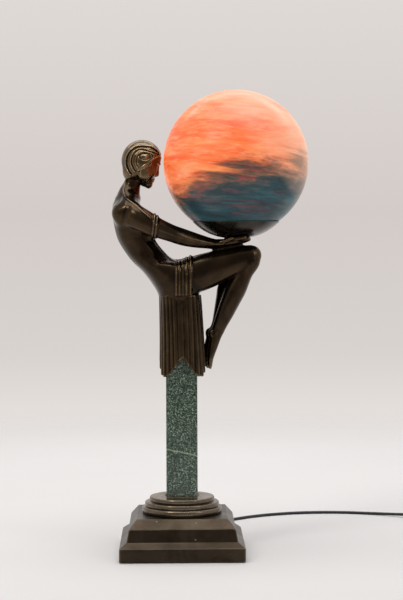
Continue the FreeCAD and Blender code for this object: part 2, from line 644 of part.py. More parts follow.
def make_skirt():
    half = COLUMN_SIDE / 2
    middle = (SKIRT_TOP + SKIRT_HEM) / 2
    front_middle = (SKIRT_FRONT_WALL_TOP + SKIRT_FRONT_WALL_HEM) / 2 - SKIRT_FRONT_HOLLOW
    side_middle = (SKIRT_SIDE_WALL_TOP + SKIRT_SIDE_WALL_HEM) / 2
    rings = []
    for z, front_wall, side_wall, growth in (
            (SKIRT_HEM, SKIRT_FRONT_WALL_HEM, SKIRT_SIDE_WALL_HEM, SKIRT_PLEAT_GROWTH),
            (middle, front_middle, side_middle, SKIRT_PLEAT_GROWTH / 2),
            (SKIRT_TOP, SKIRT_FRONT_WALL_TOP, SKIRT_SIDE_WALL_TOP, 0.0)):
        pleat = SKIRT_PLEAT_DEPTH * (1 + growth)
        rings.append(skirt_ring(z, SKIRT_BACK_X, half + front_wall, half + side_wall, pleat))
    skirt = Part.makeLoft(rings, True, False)
    pocket = half + SKIRT_POCKET_GAP
    skirt = skirt.cut(box(-pocket, -pocket, SKIRT_HEM - 1, pocket, pocket, COLUMN_TOP))
    apex = SKIRT_HEM + SKIRT_ARCH_HEIGHT
    foot = SKIRT_HEM - 2
    for along, across in ((V(1, 0, 0), V(0, 1, 0)), (V(0, 1, 0), V(1, 0, 0))):
        start = across * -BEYOND
        left = start - along * SKIRT_ARCH_HALF_WIDTH + V(0, 0, foot)
        top = start + V(0, 0, apex)
        right = start + along * SKIRT_ARCH_HALF_WIDTH + V(0, 0, foot)
        lift = V(0, 0, SKIRT_ARCH_ROUND)
        outline = Part.Wire([Part.Arc(left, (left + top) * 0.5 + lift, top).toShape(),
                             Part.Arc(top, (top + right) * 0.5 + lift, right).toShape(),
                             Part.LineSegment(right, left).toShape()])
        skirt = skirt.cut(Part.Face(outline).extrude(across * 2 * BEYOND))
    skirt = skirt.cut(cylinder(ROD_RADIUS + THREAD_GAP, COLUMN_TOP - 1, COLUMN_TOP + ROD_ENGAGEMENT))
    return skirt


# Sections of the torso: back x, back height, front x, front height, half width
TORSO_SECTIONS = [
    (-29.5, SKIRT_TOP_RISE - 14.0, 26.0, SKIRT_TOP_RISE - 12.0, 33.0),
    (-33.0, SKIRT_TOP_RISE + 4.0, 25.5, SKIRT_TOP_RISE + 6.0, 37.0),
    (-42.0, 63.0, 24.0, 68.0, 40.0),
    (-54.0, 77.0, 10.0, 89.0, 39.0),
    (-66.0, 88.0, -10.0, 95.0, 34.0),
    (-79.0, 103.0, -20.0, 103.0, 31.0),
    (-90.5, 122.0, -34.0, 120.0, 33.0),
    (-95.5, 144.0, -40.0, 140.0, 37.0),
    (-97.0, 162.0, -50.0, 161.0, 38.0),
    (-94.5, 172.5, -61.0, 172.0, 25.0),
    (-89.0, 181.0, -62.0, 177.0, 16.0),
]
THIGH_SECTIONS = [
    (4.0, -19.0, 69.0, -0.35, 0.94, 24.0, 18.5),
    (28.0, -19.0, 75.8, -0.2, 0.98, 25.2, 19.5),
    (55.0, -17.5, 84.5, -0.1, 0.99, 22.8, 17.5),
    (76.0, -16.0, 92.0, -0.2, 0.98, 19.6, 16.0),
    (90.0, -15.5, 96.0, -0.3, 0.95, 18.0, 15.0),
    (100.0, -15.5, 97.5, -0.3, 0.95, 15.2, 12.5),
    (107.0, -15.5, 98.0, -0.3, 0.95, 9.0, 7.5),
]


def block_below(z):
    return box(-BEYOND, -BEYOND, 0, BEYOND, BEYOND, z)


def make_torso():
    return body_of(TORSO_SECTIONS).cut(block_below(SKIRT_TOP))


def torso_hollow():
    """The casting's core, closed below by a floor and open to the channel of the wires."""
    inside = body_of(TORSO_SECTIONS[1:-1], FIGURE_WALL)
    return inside.cut(block_below(SKIRT_TOP + FIGURE_WALL))


def thigh_hollow():
    """The thigh's core, on the -Y side."""
    inside = limb([s[0:5] + (s[5] - FIGURE_WALL, s[6] - FIGURE_WALL) for s in THIGH_SECTIONS[:5]])
    return inside.common(box(THIGH_CORE_FROM, -BEYOND, 0, THIGH_CORE_TO, -FIGURE_WALL / 2, 2 * BEYOND))


def make_head():
    """Neck, a close cap of hair and a plain face, bowed towards the globe."""
    neck = limb([
        (-75.5, 0, 178.5, 1.0, -0.15, 13.6, 16.0),
        (-71.5, 0, 190.0, 1.0, -0.3, 11.5, 12.8),
        (-65.0, 0, 204.0, 1.0, -0.3, 11.5, 12.4),
        (-60.0, 0, 218.0, 1.0, -0.3, 11.5, 12.4),
    ])
    slices = []
    for k in range(SKULL_SLICES):
        lift = 0.97 * (2 * k / (SKULL_SLICES - 1) - 1)
        width = math.sqrt(1 - lift ** 2)
        slices.append((SKULL_X, 0, SKULL_RISE + SKULL_HALF_HEIGHT * lift, 1.0, 0.0,
                       SKULL_HALF_LENGTH * width, SKULL_HALF_WIDTH * width))
    skull = limb(slices)
    face = limb([
        (-47.0, 0, 241.0, 1.0, 0.25, 20.0, 18.5),
        (-46.5, 0, 228.0, 1.0, 0.2, 19.5, 19.0),
        (-45.5, 0, 215.0, 1.0, 0.1, 16.0, 17.0),
        (-45.5, 0, 203.0, 1.0, 0.0, 12.5, 14.0),
        (-45.0, 0, 195.5, 1.0, -0.2, 9.0, 10.0),
        (-43.5, 0, 192.0, 1.0, -0.2, 5.0, 6.0),
    ])
    nose = limb([
        (-31.5, 0, 223.0, 1.0, 0.2, 2.5, 1.8),
        (-31.0, 0, 216.0, 1.0, 0.2, 3.6, 2.4),
        (-30.6, 0, 210.5, 1.0, 0.2, 4.0, 3.6),
        (-32.0, 0, 208.5, 1.0, 0.2, 2.6, 2.6),
    ])
    return neck.fuse([skull, face, nose])


def make_arm():
    """The arm on the -Y side, from the shoulder to the fingertips under the bowl."""
    return limb([
        (-76.0, -31.0, 160.5, 0.35, 0.95, 12.5, 9.0),
        (-68.0, -38.0, 156.5, 0.45, 0.9, 15.6, 12.0),
        (-52.0, -42.0, 148.0, 0.48, 0.88, 15.4, 12.5),
        (-35.0, -43.0, 138.3, 0.45, 0.89, 14.4, 12.0),
        (-14.0, -41.5, 130.0, 0.35, 0.94, 12.0, 10.5),
        (4.0, -37.0, 124.0, 0.25, 0.97, 11.5, 10.0),
        (GLOBE_X - 52.0, -29.0, BOWL_RISE - 4.0, 0.2, 0.98, 9.5, 8.5),
        (GLOBE_X - 32.0, -19.5, BOWL_RISE - 7.4, 0.12, 0.99, 6.6, 7.0),
        (GLOBE_X - 18.0, -13.5, BOWL_RISE - 8.0, 0.02, 1.0, 5.6, 6.6),
        (GLOBE_X - 6.0, -10.5, BOWL_RISE - 5.4, 0.0, 1.0, 5.2, 8.6),
        (GLOBE_X + 8.0, -9.5, BOWL_RISE - 4.4, -0.05, 1.0, 4.4, 9.0),
        (GLOBE_X + 19.0, -8.0, BOWL_RISE - 1.4, -0.3, 0.95, 3.0, 7.0),
        (GLOBE_X + 23.0, -7.5, BOWL_RISE + 0.6, -0.4, 0.9, 1.8, 4.5),
    ])


def make_leg(set_back):
    """A leg on the -Y side, its knee sharply bent and its toes pointed down; set_back draws its calf in."""
    thigh = limb(THIGH_SECTIONS)
    shank = limb([
        (99.0, -15.5, 99.0, 0.9, -0.35, 8.0, 9.0),
        (93.5, -15.5, 90.0, 0.9, -0.35, 15.5, 14.0),
        (85.5 - 0.4 * set_back, -15.2, 73.0, 0.91, -0.41, 12.8, 12.6),
        (76.5 - set_back, -15.0, 53.0, 0.92, -0.4, 13.2, 12.8),
        (68.5 - set_back, -14.2, 36.0, 0.92, -0.4, 12.6, 12.2),
        (60.8 - set_back, -12.8, 19.0, 0.92, -0.38, 11.4, 10.6),
        (53.4 - 0.9 * set_back, -10.8, 3.0, 0.93, -0.36, 9.3, 8.4),
        (48.2 - 0.8 * set_back, -9.5, -8.5, 0.95, -0.3, 8.6, 7.4),
        (43.5 - 0.4 * set_back, -8.8, -25.0, 0.96, -0.28, 6.8, 7.6),
        (39.8, -8.6, -42.0, 0.97, -0.2, 4.6, 7.8),
        (39.5, -8.4, -54.0, 1.0, 0.0, 2.6, 6.0),
        (39.5, -8.2, -57.0, 1.0, 0.0, 1.4, 3.6),
    ])
    return thigh.fuse(shank)


def make_figure(bowl):
    skirt = make_skirt()
    torso = make_torso()
    head = make_head().cut(torso)
    side = box(-BEYOND, -BEYOND, 0, BEYOND, -SEAT_GAP / 2, 2 * BEYOND)
    wires = sweep(cord_path(CORE_FIGURE_POINTS, "core channel"), CORE_RADIUS + CORE_CHANNEL_GAP,
                  "core channel")
    nut_reach = PALM_WASHER_RADIUS + HOLE_GAP
    nipple_hole = cylinder(NIPPLE_RADIUS + HOLE_GAP, COLUMN_TOP, BOWL_FLOOR_Z + 1, GLOBE_X, 0)
    nut_room = cylinder(nut_reach, COLUMN_TOP, BOWL_FLOOR_Z - PALM_WEB, GLOBE_X, 0)
    nut_space = cylinder(nut_reach, PALM_NUT_Z - SEAT_GAP, BOWL_FLOOR_Z, GLOBE_X, 0)
    bowl_seat = cylinder(BOWL_FLAT_RADIUS, BOWL_FLOOR_Z, BOWL_RIM_Z, GLOBE_X, 0)
    leg = make_leg(0.0).common(side).cut(torso).cut(skirt).cut(nut_space)
    far_leg = mirrored(make_leg(FAR_CALF_BACK).common(side)).cut(torso).cut(skirt).cut(nut_space)
    thigh_core = thigh_hollow().cut(torso)
    arm = make_arm().common(side).cut(torso).cut(nipple_hole).cut(nut_room).cut(bowl_seat).cut(bowl)
    arm = arm.cut(leg)
    far_arm = mirrored(arm).cut(far_leg).cut(wires)
    figure = {
        "figure_skirt": skirt.cut(wires),
        "figure_torso": torso.cut(torso_hollow()).cut(wires),
        "figure_head": head,
        "right_arm": arm,
        "left_arm": far_arm,
        "right_leg": leg.cut(thigh_core),
        "left_leg": far_leg.cut(mirrored(thigh_core)),
    }
    for name, shape in figure.items():
        if len(shape.Solids) > 1:
            print(name, "kept the largest of", ["%.1f" % s.Volume for s in shape.Solids])
            figure[name] = max(shape.Solids, key=lambda s: s.Volume)
    return figure


# ---------------------------------------------------------------- bowl, holder, bulb and globe
def make_bowl():
    """Shallow spun bowl: its rim follows the globe, and the globe stands on the seat inside it."""
    bore = NIPPLE_RADIUS + HOLE_GAP
    rim_inner = math.sqrt(GLOBE_RADIUS ** 2 - (GLOBE_Z - BOWL_RIM_Z) ** 2) + GLOBE_BOWL_GAP
    rim_edge = (rim_inner, BOWL_RIM_Z)
    rim = (rim_inner + BOWL_RIM_WALL, BOWL_RIM_Z)
    flat = (BOWL_FLAT_RADIUS, BOWL_FLOOR_Z)
    foot = (BOWL_FLAT_RADIUS + BOWL_FOOT_WIDTH, BOWL_FLOOR_Z + BOWL_FOOT_RISE)
    chord = math.dist(foot, rim)
    bulge_r = (foot[0] + rim[0]) / 2 + BOWL_BULGE * (rim[1] - foot[1]) / chord
    bulge_z = (foot[1] + rim[1]) / 2 - BOWL_BULGE * (rim[0] - foot[0]) / chord
    inner_flat = (BOWL_FLAT_RADIUS, BOWL_FLOOR_Z + BOWL_WALL)
    inner_foot = (foot[0] - 1, BOWL_FLOOR_Z + BOWL_WALL + 0.75 * BOWL_FOOT_RISE)
    seat_inner = (BOWL_SEAT_INNER, BOWL_SEAT_Z)
    seat_outer = (GLOBE_MOUTH_RADIUS + BOWL_SEAT_MARGIN, BOWL_SEAT_Z)
    around = [rim, rim_edge, seat_outer, seat_inner, inner_foot, inner_flat, (bore, BOWL_FLOOR_Z + BOWL_WALL),
              (bore, BOWL_FLOOR_Z), flat, foot]
    edges = [line(a, b) for a, b in zip(around, around[1:])]
    edges.append(arc(foot, (bulge_r, bulge_z), rim))
    return turned_edges(edges, GLOBE_X, 0)


def make_shade(bowl):
    x = GLOBE_X
    globe = Part.makeSphere(GLOBE_RADIUS, V(x, 0, GLOBE_Z)).cut(
        Part.makeSphere(GLOBE_RADIUS - GLOBE_WALL, V(x, 0, GLOBE_Z)))
    globe = globe.cut(box(x - GLOBE_RADIUS, -GLOBE_RADIUS, GLOBE_Z - 2 * GLOBE_RADIUS,
                          x + GLOBE_RADIUS, GLOBE_RADIUS, MOUTH_Z))
    gasket = tube(BOWL_SEAT_INNER + GASKET_WIDTH, BOWL_SEAT_INNER, BOWL_SEAT_Z, MOUTH_Z, x)
    nipple = tube(NIPPLE_RADIUS, NIPPLE_RADIUS - NIPPLE_WALL, PALM_NUT_Z, HOLDER_Z + HOLDER_FOOT, x)
    tapped = NIPPLE_RADIUS + THREAD_GAP
    washer_top = PALM_WASHER_Z + PALM_WASHER_THICKNESS
    nuts = [
        tube(PALM_WASHER_RADIUS, NIPPLE_RADIUS + HOLE_GAP, PALM_WASHER_Z, washer_top, x),
        hexagon(NIPPLE_NUT_FLATS, PALM_NUT_Z, PALM_WASHER_Z, tapped, x),
        hexagon(NIPPLE_NUT_FLATS, BOWL_FLOOR_Z + BOWL_WALL, HOLDER_Z, tapped, x),
    ]
    return {"glass_globe": globe, "shade_gasket": gasket, "shade_bowl": bowl, "bowl_nipple": nipple,
            "bowl_nuts": group(nuts)}


def make_holder():
    x = GLOBE_X
    tapped = NIPPLE_RADIUS + THREAD_GAP
    inner = HOLDER_RADIUS - HOLDER_WALL
    foot_z = HOLDER_Z + HOLDER_FOOT
    cap = turned([
        (tapped, HOLDER_Z), (HOLDER_RADIUS - HOLDER_FOOT, HOLDER_Z), (HOLDER_RADIUS, foot_z),
        (HOLDER_RADIUS, SHELL_Z), (inner, SHELL_Z), (inner, foot_z + 1), (inner - HOLDER_FOOT_INNER, foot_z),
        (tapped, foot_z)], x)

    core_radius = inner - HOLDER_CORE_GAP
    screw_x = core_radius - TERMINAL_INSET
    core = cylinder(core_radius, CORE_Z, THREAD_Z, x)
    screws = []
    for side in (-1, 1):
        core = core.cut(cylinder(WIRE_HOLE_RADIUS, CORE_Z - 1, THREAD_Z + 1, x, side * WIRE_HOLE_OFFSET))
        under_head = CORE_Z - TERMINAL_WIRE_ROOM
        at = x + side * screw_x
        core = core.cut(cylinder(TERMINAL_HOLE_RADIUS, CORE_Z - 1, CORE_Z + TERMINAL_SCREW_LENGTH, at))
        head = cylinder(TERMINAL_HEAD_RADIUS, under_head - TERMINAL_HEAD, under_head, at)
        shank = cylinder(TERMINAL_SCREW_RADIUS, under_head, under_head + TERMINAL_SCREW_LENGTH, at)
        screws.append(head.fuse(shank))

    thread_radius = HOLDER_THREAD_RADIUS + HOLDER_THREAD_WALL
    collar = thread_radius + HOLDER_THREAD_GAP
    shell_top = SHELL_Z + HOLDER_SHELL_HEIGHT
    ledge = core_radius - HOLDER_CORE_LEDGE
    shell = turned([(ledge, SHELL_Z), (HOLDER_RADIUS, SHELL_Z), (HOLDER_RADIUS, shell_top),
                    (collar, shell_top), (collar, shell_top - HOLDER_WALL), (inner, shell_top - HOLDER_WALL),
                    (inner, CORE_Z), (ledge, CORE_Z)], x)
    thread = tube(thread_radius, HOLDER_THREAD_RADIUS, THREAD_Z, THREAD_Z + HOLDER_THREAD_HEIGHT, x)
    contact = box(x - CONTACT_LENGTH / 2, -CONTACT_WIDTH / 2, THREAD_Z,
                  x + CONTACT_LENGTH / 2, CONTACT_WIDTH / 2, THREAD_Z + CONTACT_THICKNESS)
    return {"socket_cap": cap, "socket_shell": shell, "socket_core": core, "socket_thread": thread,
            "socket_contact": contact, "terminal_screws": group(screws)}


def bulb_envelope(shrink):
    """Round bulb on a cone and a neck, drawn inside its outer surface by shrink."""
    radius = BULB_RADIUS - shrink
    neck = BULB_CAP_RADIUS - BULB_CAP_WALL - BULB_NECK_GAP - shrink
    centre_z = BULB_GLASS_Z + BULB_LENGTH - BULB_RADIUS
    foot_z = BULB_GLASS_Z - BULB_GLASS_IN_CAP

    def on_round(degrees):
        a = math.radians(degrees)
        return (radius * math.cos(a), centre_z + radius * math.sin(a))

    top = (0.0, centre_z + radius)
    low = on_round(-BULB_TANGENT)
    waist = (neck, BULB_GLASS_Z + BULB_NECK_HEIGHT)
    edges = [arc(top, on_round(45), on_round(0)), arc(on_round(0), on_round(-BULB_TANGENT / 2), low),
             line(low, waist), line(waist, (neck, foot_z)), line((neck, foot_z), (0.0, foot_z)),
             line((0.0, foot_z), top)]
    return turned_edges(edges, GLOBE_X, 0)


def make_bulb():
    x = GLOBE_X
    foot_z = BULB_GLASS_Z - BULB_GLASS_IN_CAP
    cap_inner = BULB_CAP_RADIUS - BULB_CAP_WALL
    opening = cap_inner - BULB_NECK_GAP - BULB_GLASS_WALL
    glass = bulb_envelope(0.0).cut(bulb_envelope(BULB_GLASS_WALL))
    glass = glass.cut(cylinder(opening, foot_z - 1, foot_z + 1, x))

    cone_top = BULB_CAP_Z + BULB_CAP_FOOT
    cap = turned([(BULB_BUTTON_RADIUS, BULB_CAP_Z), (BULB_BUTTON_RADIUS + BULB_BUTTON_RIM, BULB_CAP_Z),
                  (BULB_CAP_RADIUS, cone_top), (BULB_CAP_RADIUS, BULB_GLASS_Z), (cap_inner, BULB_GLASS_Z),
                  (cap_inner, cone_top), (BULB_BUTTON_RADIUS, BULB_CAP_Z + BULB_BUTTON_RIM)], x)
    button_top = BULB_CAP_Z + BULB_BUTTON_RIM
    button = cylinder(BULB_BUTTON_RADIUS, BULB_BUTTON_Z, button_top, x)

    hub_z = BULB_GLASS_Z + BULB_LENGTH - BULB_RADIUS - FILAMENT_HUB_DROP
    hub_top = hub_z + FILAMENT_HUB_THICKNESS
    stem = cylinder(FILAMENT_STEM_RADIUS, button_top, hub_z, x)
    strips = [cylinder(FILAMENT_HUB_RADIUS, hub_z, hub_top, x)]
    for k in range(FILAMENTS):
        angle = 2 * math.pi * (k + 0.5) / FILAMENTS
        at_x = x + FILAMENT_OFFSET * math.cos(angle) - FILAMENT_SIDE / 2
        at_y = FILAMENT_OFFSET * math.sin(angle) - FILAMENT_SIDE / 2
        strips.append(box(at_x, at_y, hub_top,
                          at_x + FILAMENT_SIDE, at_y + FILAMENT_SIDE, hub_top + FILAMENT_LENGTH))
    return {"bulb_glass": glass, "bulb_cap": cap, "bulb_contact": button,
            "bulb_filament": stem.fuse(strips)}


# ---------------------------------------------------------------- cord, switch and plug
def make_bushing():
    wall_out = PLINTH_SIDE / 2
    flange_out = wall_out + BUSHING_FLANGE
    wall_in = CAVITY_SIDE / 2
    hole = BUSHING_HOLE_RADIUS - BUSHING_HOLE_GAP
    bore = CORD_RADIUS + BUSHING_CORD_GAP
    inner_end = wall_in - BUSHING_INNER_FLANGE
    flange = BUSHING_INNER_FLANGE_RADIUS
    profile = [(bore, inner_end), (flange, inner_end), (flange, wall_in),
               (hole, wall_in), (hole, wall_out), (BUSHING_FLANGE_RADIUS, wall_out),
               (BUSHING_FLANGE_RADIUS, flange_out), (hole, flange_out + BUSHING_FLANGE_CHAMFER),
               (bore + BUSHING_TAIL_WALL, BUSHING_END_Y), (bore, BUSHING_END_Y)]
    solid = turned(profile)
    solid.rotate(V(0, 0, 0), V(1, 0, 0), -90)
    solid.translate(V(BUSHING_X, 0, BUSHING_Z))
    return {"cord_bushing": solid}


def place_on_switch(x, y, z):
    """A point given along and across the switch, on the table."""
    a = math.radians(SWITCH_TURN)
    return (SWITCH_CENTRE[0] + x * math.cos(a) - y * math.sin(a),
            SWITCH_CENTRE[1] + x * math.sin(a) + y * math.cos(a), z)


def make_switch_shells():
    """Lower and upper shell, with an inlet for the cord at each end and a window for the rocker."""
    length, width = SWITCH_LENGTH, SWITCH_WIDTH
    inner_length = length - 2 * SWITCH_WALL
    inner_width = width - 2 * SWITCH_WALL
    inner_corner = SWITCH_CORNER - SWITCH_WALL
    ceiling = SWITCH_HEIGHT - SWITCH_WALL
    lower = rounded_box(length, width, 0, SWITCH_SPLIT_Z, SWITCH_CORNER)
    lower = lower.cut(rounded_box(inner_length, inner_width, SWITCH_WALL, SWITCH_SPLIT_Z + 1, inner_corner))
    upper = rounded_box(length, width, SWITCH_SPLIT_Z, SWITCH_HEIGHT, SWITCH_CORNER)
    top_edges = [e for e in upper.Edges if e.CenterOfMass.z > SWITCH_HEIGHT - 0.01]
    upper = upper.makeFillet(SWITCH_EDGE, top_edges)
    upper = upper.cut(rounded_box(inner_length, inner_width, SWITCH_SPLIT_Z - 1, ceiling, inner_corner))
    for end in (-1, 1):
        inside = (end * (inner_length / 2 - 1), 0, SWITCH_ENTRY_Z)
        inlet = cylinder_along(CORD_RADIUS + SWITCH_CORD_GAP, inside, (end, 0, 0), 2 * SWITCH_WALL + 2)
        lower = lower.cut(inlet)
        upper = upper.cut(inlet)
    window_x = ROCKER_LENGTH / 2 + ROCKER_GAP
    window_y = ROCKER_WIDTH / 2 + ROCKER_GAP
    upper = upper.cut(box(-window_x, -window_y, ceiling - 1, window_x, window_y, SWITCH_HEIGHT + 1))
    for side in (-1, 1):
        y0 = min(side * window_y, side * (window_y + ROCKER_EAR))
        ear = box(-ROCKER_EAR_HALF, y0, ROCKER_PIVOT_Z - ROCKER_EAR_HALF,
                  ROCKER_EAR_HALF, y0 + ROCKER_EAR, ceiling)
        upper = upper.fuse(ear).removeSplitter()
    return lower, upper.cut(axle_bore())


def axle_bore():
    return cylinder_along(ROCKER_AXLE_RADIUS + THREAD_GAP, (0, -SWITCH_WIDTH, ROCKER_PIVOT_Z), (0, 1, 0),
                          2 * SWITCH_WIDTH)


def make_rocker():
    half = ROCKER_LENGTH / 2 - ROCKER_END_INSET
    drum = cylinder_along(ROCKER_RADIUS, (0, -ROCKER_WIDTH / 2, ROCKER_PIVOT_Z - ROCKER_DROP), (0, 1, 0),
                          ROCKER_WIDTH)
    rocker = drum.common(box(-half, -ROCKER_WIDTH, ROCKER_PIVOT_Z - ROCKER_BELOW,
                             half, ROCKER_WIDTH, SWITCH_HEIGHT + ROCKER_PROUD))
    dish_z = SWITCH_HEIGHT + ROCKER_DISH_RISE + ROCKER_DISH_RADIUS
    dish = cylinder_along(ROCKER_DISH_RADIUS, (0, -ROCKER_WIDTH, dish_z), (0, 1, 0), 2 * ROCKER_WIDTH)
    rocker = rocker.cut(axle_bore()).cut(dish)
    rocker.rotate(V(0, 0, ROCKER_PIVOT_Z), V(0, 1, 0), ROCKER_TILT)
    return rocker


def make_switch():
    lower, upper = make_switch_shells()
    ceiling = SWITCH_HEIGHT - SWITCH_WALL
    axle_half = ROCKER_WIDTH / 2 + ROCKER_GAP + ROCKER_EAR
    axle = cylinder_along(ROCKER_AXLE_RADIUS, (0, -axle_half, ROCKER_PIVOT_Z), (0, 1, 0), 2 * axle_half)
    half_plate = PLATE_SIDE / 2
    plates = [box(s * PLATE_OFFSET - half_plate, -half_plate, SWITCH_WALL,
                  s * PLATE_OFFSET + half_plate, half_plate, SWITCH_WALL + PLATE_THICKNESS) for s in (-1, 1)]
    head_top = SWITCH_SCREW_SUNK + SWITCH_SCREW_HEAD
    tip = SWITCH_HEIGHT - SWITCH_SCREW_COVER
    screws = []
    for s in (-1, 1):
        x = s * (SWITCH_LENGTH / 2 - SWITCH_POST_END)
        y = s * (SWITCH_WIDTH / 2 - SWITCH_POST_SIDE)
        post = cylinder(SWITCH_POST_RADIUS, SWITCH_WALL, SWITCH_SPLIT_Z, x, y)
        lower = lower.fuse(post).removeSplitter()
        lower = lower.cut(cylinder(SWITCH_SCREW_RADIUS + COVER_SCREW_GAP, -1, SWITCH_SPLIT_Z + 1, x, y))
        lower = lower.cut(cylinder(SWITCH_SCREW_HEAD_RADIUS + COVER_SCREW_GAP, -1, head_top, x, y))
        upper = upper.fuse(cylinder(SWITCH_POST_RADIUS, SWITCH_SPLIT_Z, ceiling, x, y)).removeSplitter()
        hole_top = tip + SCREW_HOLE_SPARE
        upper = upper.cut(cylinder(SWITCH_SCREW_RADIUS + THREAD_GAP, SWITCH_SPLIT_Z - 1, hole_top, x, y))
        head = cylinder(SWITCH_SCREW_HEAD_RADIUS, SWITCH_SCREW_SUNK, head_top, x, y)
        screws.append(head.fuse(cylinder(SWITCH_SCREW_RADIUS, head_top, tip, x, y)))
    shapes = {"switch_base": lower, "switch_cover": upper, "switch_rocker": make_rocker(),
              "switch_axle": axle, "switch_contacts": group(plates), "switch_screws": group(screws)}
    return {name: turned_in_place(shape, SWITCH_CENTRE, SWITCH_TURN) for name, shape in shapes.items()}


def coil_stations():
    """Points of the coil with their headings: in on the lower layer, up, and out on the upper."""
    cx, cy = COIL_CENTRE
    stations = []
    for k in range(COIL_HALF_TURNS + 1):
        side = 1 if k % 2 == 0 else -1
        radius = COIL_OUTER_RADIUS - k * COIL_PITCH / 2
        stations.append((V(cx + side * radius, cy, COIL_Z), V(0, -side, 0)))
    mean_slope = COIL_LAYER_STEP / (math.pi * COIL_INNER_RADIUS)
    heading = V(-side, 0, 1.5 * mean_slope).normalize()
    middle = V(cx, cy - side * (COIL_INNER_RADIUS - COIL_CLIMB_TUCK), COIL_Z + COIL_LAYER_STEP / 2)
    stations.append((middle, heading))
    for k in range(COIL_HALF_TURNS):
        side = -side
        radius = COIL_INNER_RADIUS + k * COIL_PITCH / 2
        stations.append((V(cx + side * radius, cy, COIL_Z + COIL_LAYER_STEP), V(0, -side, 0)))
    return stations


def coil_end():
    """Where the coil's last turn, now clear of the turns below it, meets the plug."""
    end, heading = coil_stations()[-1]
    return V(end.x, end.y, PLUG_CABLE_Z) + heading * COIL_TO_PLUG


def make_coil():
    """The put-away length: one unbroken tube, which ends straight for a diameter at each end."""
    stations = coil_stations()
    edges = []
    start, heading = stations[0]
    edges.append(Part.LineSegment(start - heading * 2 * CORD_RADIUS, start).toShape())
    for (p0, t0), (p1, t1) in zip(stations, stations[1:]):
        edges += biarc(p0, t0, p1, t1)
    end, heading = stations[-1]
    plug_entry = coil_end()
    straight_from = plug_entry - heading * 2 * CORD_RADIUS
    clear_of_turns = end + heading * (COIL_TO_PLUG / 2)
    edges.append(Part.LineSegment(end, clear_of_turns).toShape())
    edges += biarc(clear_of_turns, heading, straight_from, heading)
    edges.append(Part.LineSegment(straight_from, plug_entry).toShape())
    path = Part.Wire(edges)
    samples = []
    travelled = 0.0
    for edge in edges:
        count = max(int(edge.Length / 2.0), 2)
        for k in range(count):
            u = edge.FirstParameter + (edge.LastParameter - edge.FirstParameter) * k / count
            samples.append((travelled + edge.Length * k / count, edge.valueAt(u)))
        travelled += edge.Length
    gap = 1e9
    for i, (si, pi) in enumerate(samples):
        for sj, pj in samples[i + 1:]:
            if sj - si > 6 * CORD_RADIUS:
                gap = min(gap, (pj - pi).Length)
    print("coil length %.0f, least gap to itself %.2f" % (path.Length, gap - 2 * CORD_RADIUS))
    return sweep(path, CORD_RADIUS, "cord_coil"), path.Length


def make_cord():
    entry = place_on_switch(-SWITCH_LENGTH / 2, 0, SWITCH_ENTRY_Z)
    before = place_on_switch(-SWITCH_LENGTH / 2 - 20.0, 0, SWITCH_ENTRY_Z - 1.5)
    lead_points = CORD_LEAD_POINTS + [before, entry]
    out = place_on_switch(SWITCH_LENGTH / 2, 0, SWITCH_ENTRY_Z)
    after = place_on_switch(SWITCH_LENGTH / 2 + 16.0, 0, SWITCH_ENTRY_Z - 1.5)
    first, heading = coil_stations()[0]
    meet = first - heading * 2 * CORD_RADIUS
    tail_points = [out, after, (meet.x + 1.0, meet.y + 26.0, COIL_Z), (meet.x, meet.y + 12.5, COIL_Z),
                   (meet.x, meet.y, COIL_Z)]
    lead = cord_path(lead_points, "cord_lead")
    tail = cord_path(tail_points, "cord_tail")
    coil, coil_length = make_coil()
    total = BUSHING_TAIL + lead.Length + SWITCH_LENGTH + tail.Length + coil_length
    print("cord from the base to the plug %.0f" % total)
    inside = cord_path(CORE_BASE_POINTS + CORE_FIGURE_POINTS, "inner_cores")
    stripped_at = CORE_BASE_POINTS[0]
    sheath = cylinder_along(CORD_RADIUS, stripped_at, (0, 1, 0), BUSHING_END_Y - stripped_at[1])
    return {
        "cord_lead": sweep(lead, CORD_RADIUS, "cord_lead"),
        "cord_tail": sweep(tail, CORD_RADIUS, "cord_tail"),
        "cord_coil": coil,
        "inner_cores": group([sheath, sweep(inside, CORE_RADIUS, "inner_cores")]),
    }


def make_tie():
    """A flat strap round the coil on its -X side."""
    near = COIL_INNER_RADIUS - COIL_CLIMB_TUCK - CORD_RADIUS - TIE_GAP
    far = COIL_OUTER_RADIUS + CORD_RADIUS + TIE_GAP
    x0 = COIL_CENTRE[0] - far
    x1 = COIL_CENTRE[0] - near
    z1 = COIL_Z + COIL_LAYER_STEP + CORD_RADIUS + TIE_GAP
    y0 = COIL_CENTRE[1] - TIE_WIDTH / 2
    y1 = y0 + TIE_WIDTH
    t = TIE_THICKNESS
    strap = box(x0 - t, y0, 0, x1 + t, y1, z1 + t)
    along_y = [e for e in strap.Edges if abs(e.tangentAt(e.FirstParameter).y) > 0.9]
    strap = strap.makeFillet(TIE_CORNER, along_y)
    return {"cord_tie": strap.cut(box(x0, y0 - 1, t, x1, y1 + 1, z1))}


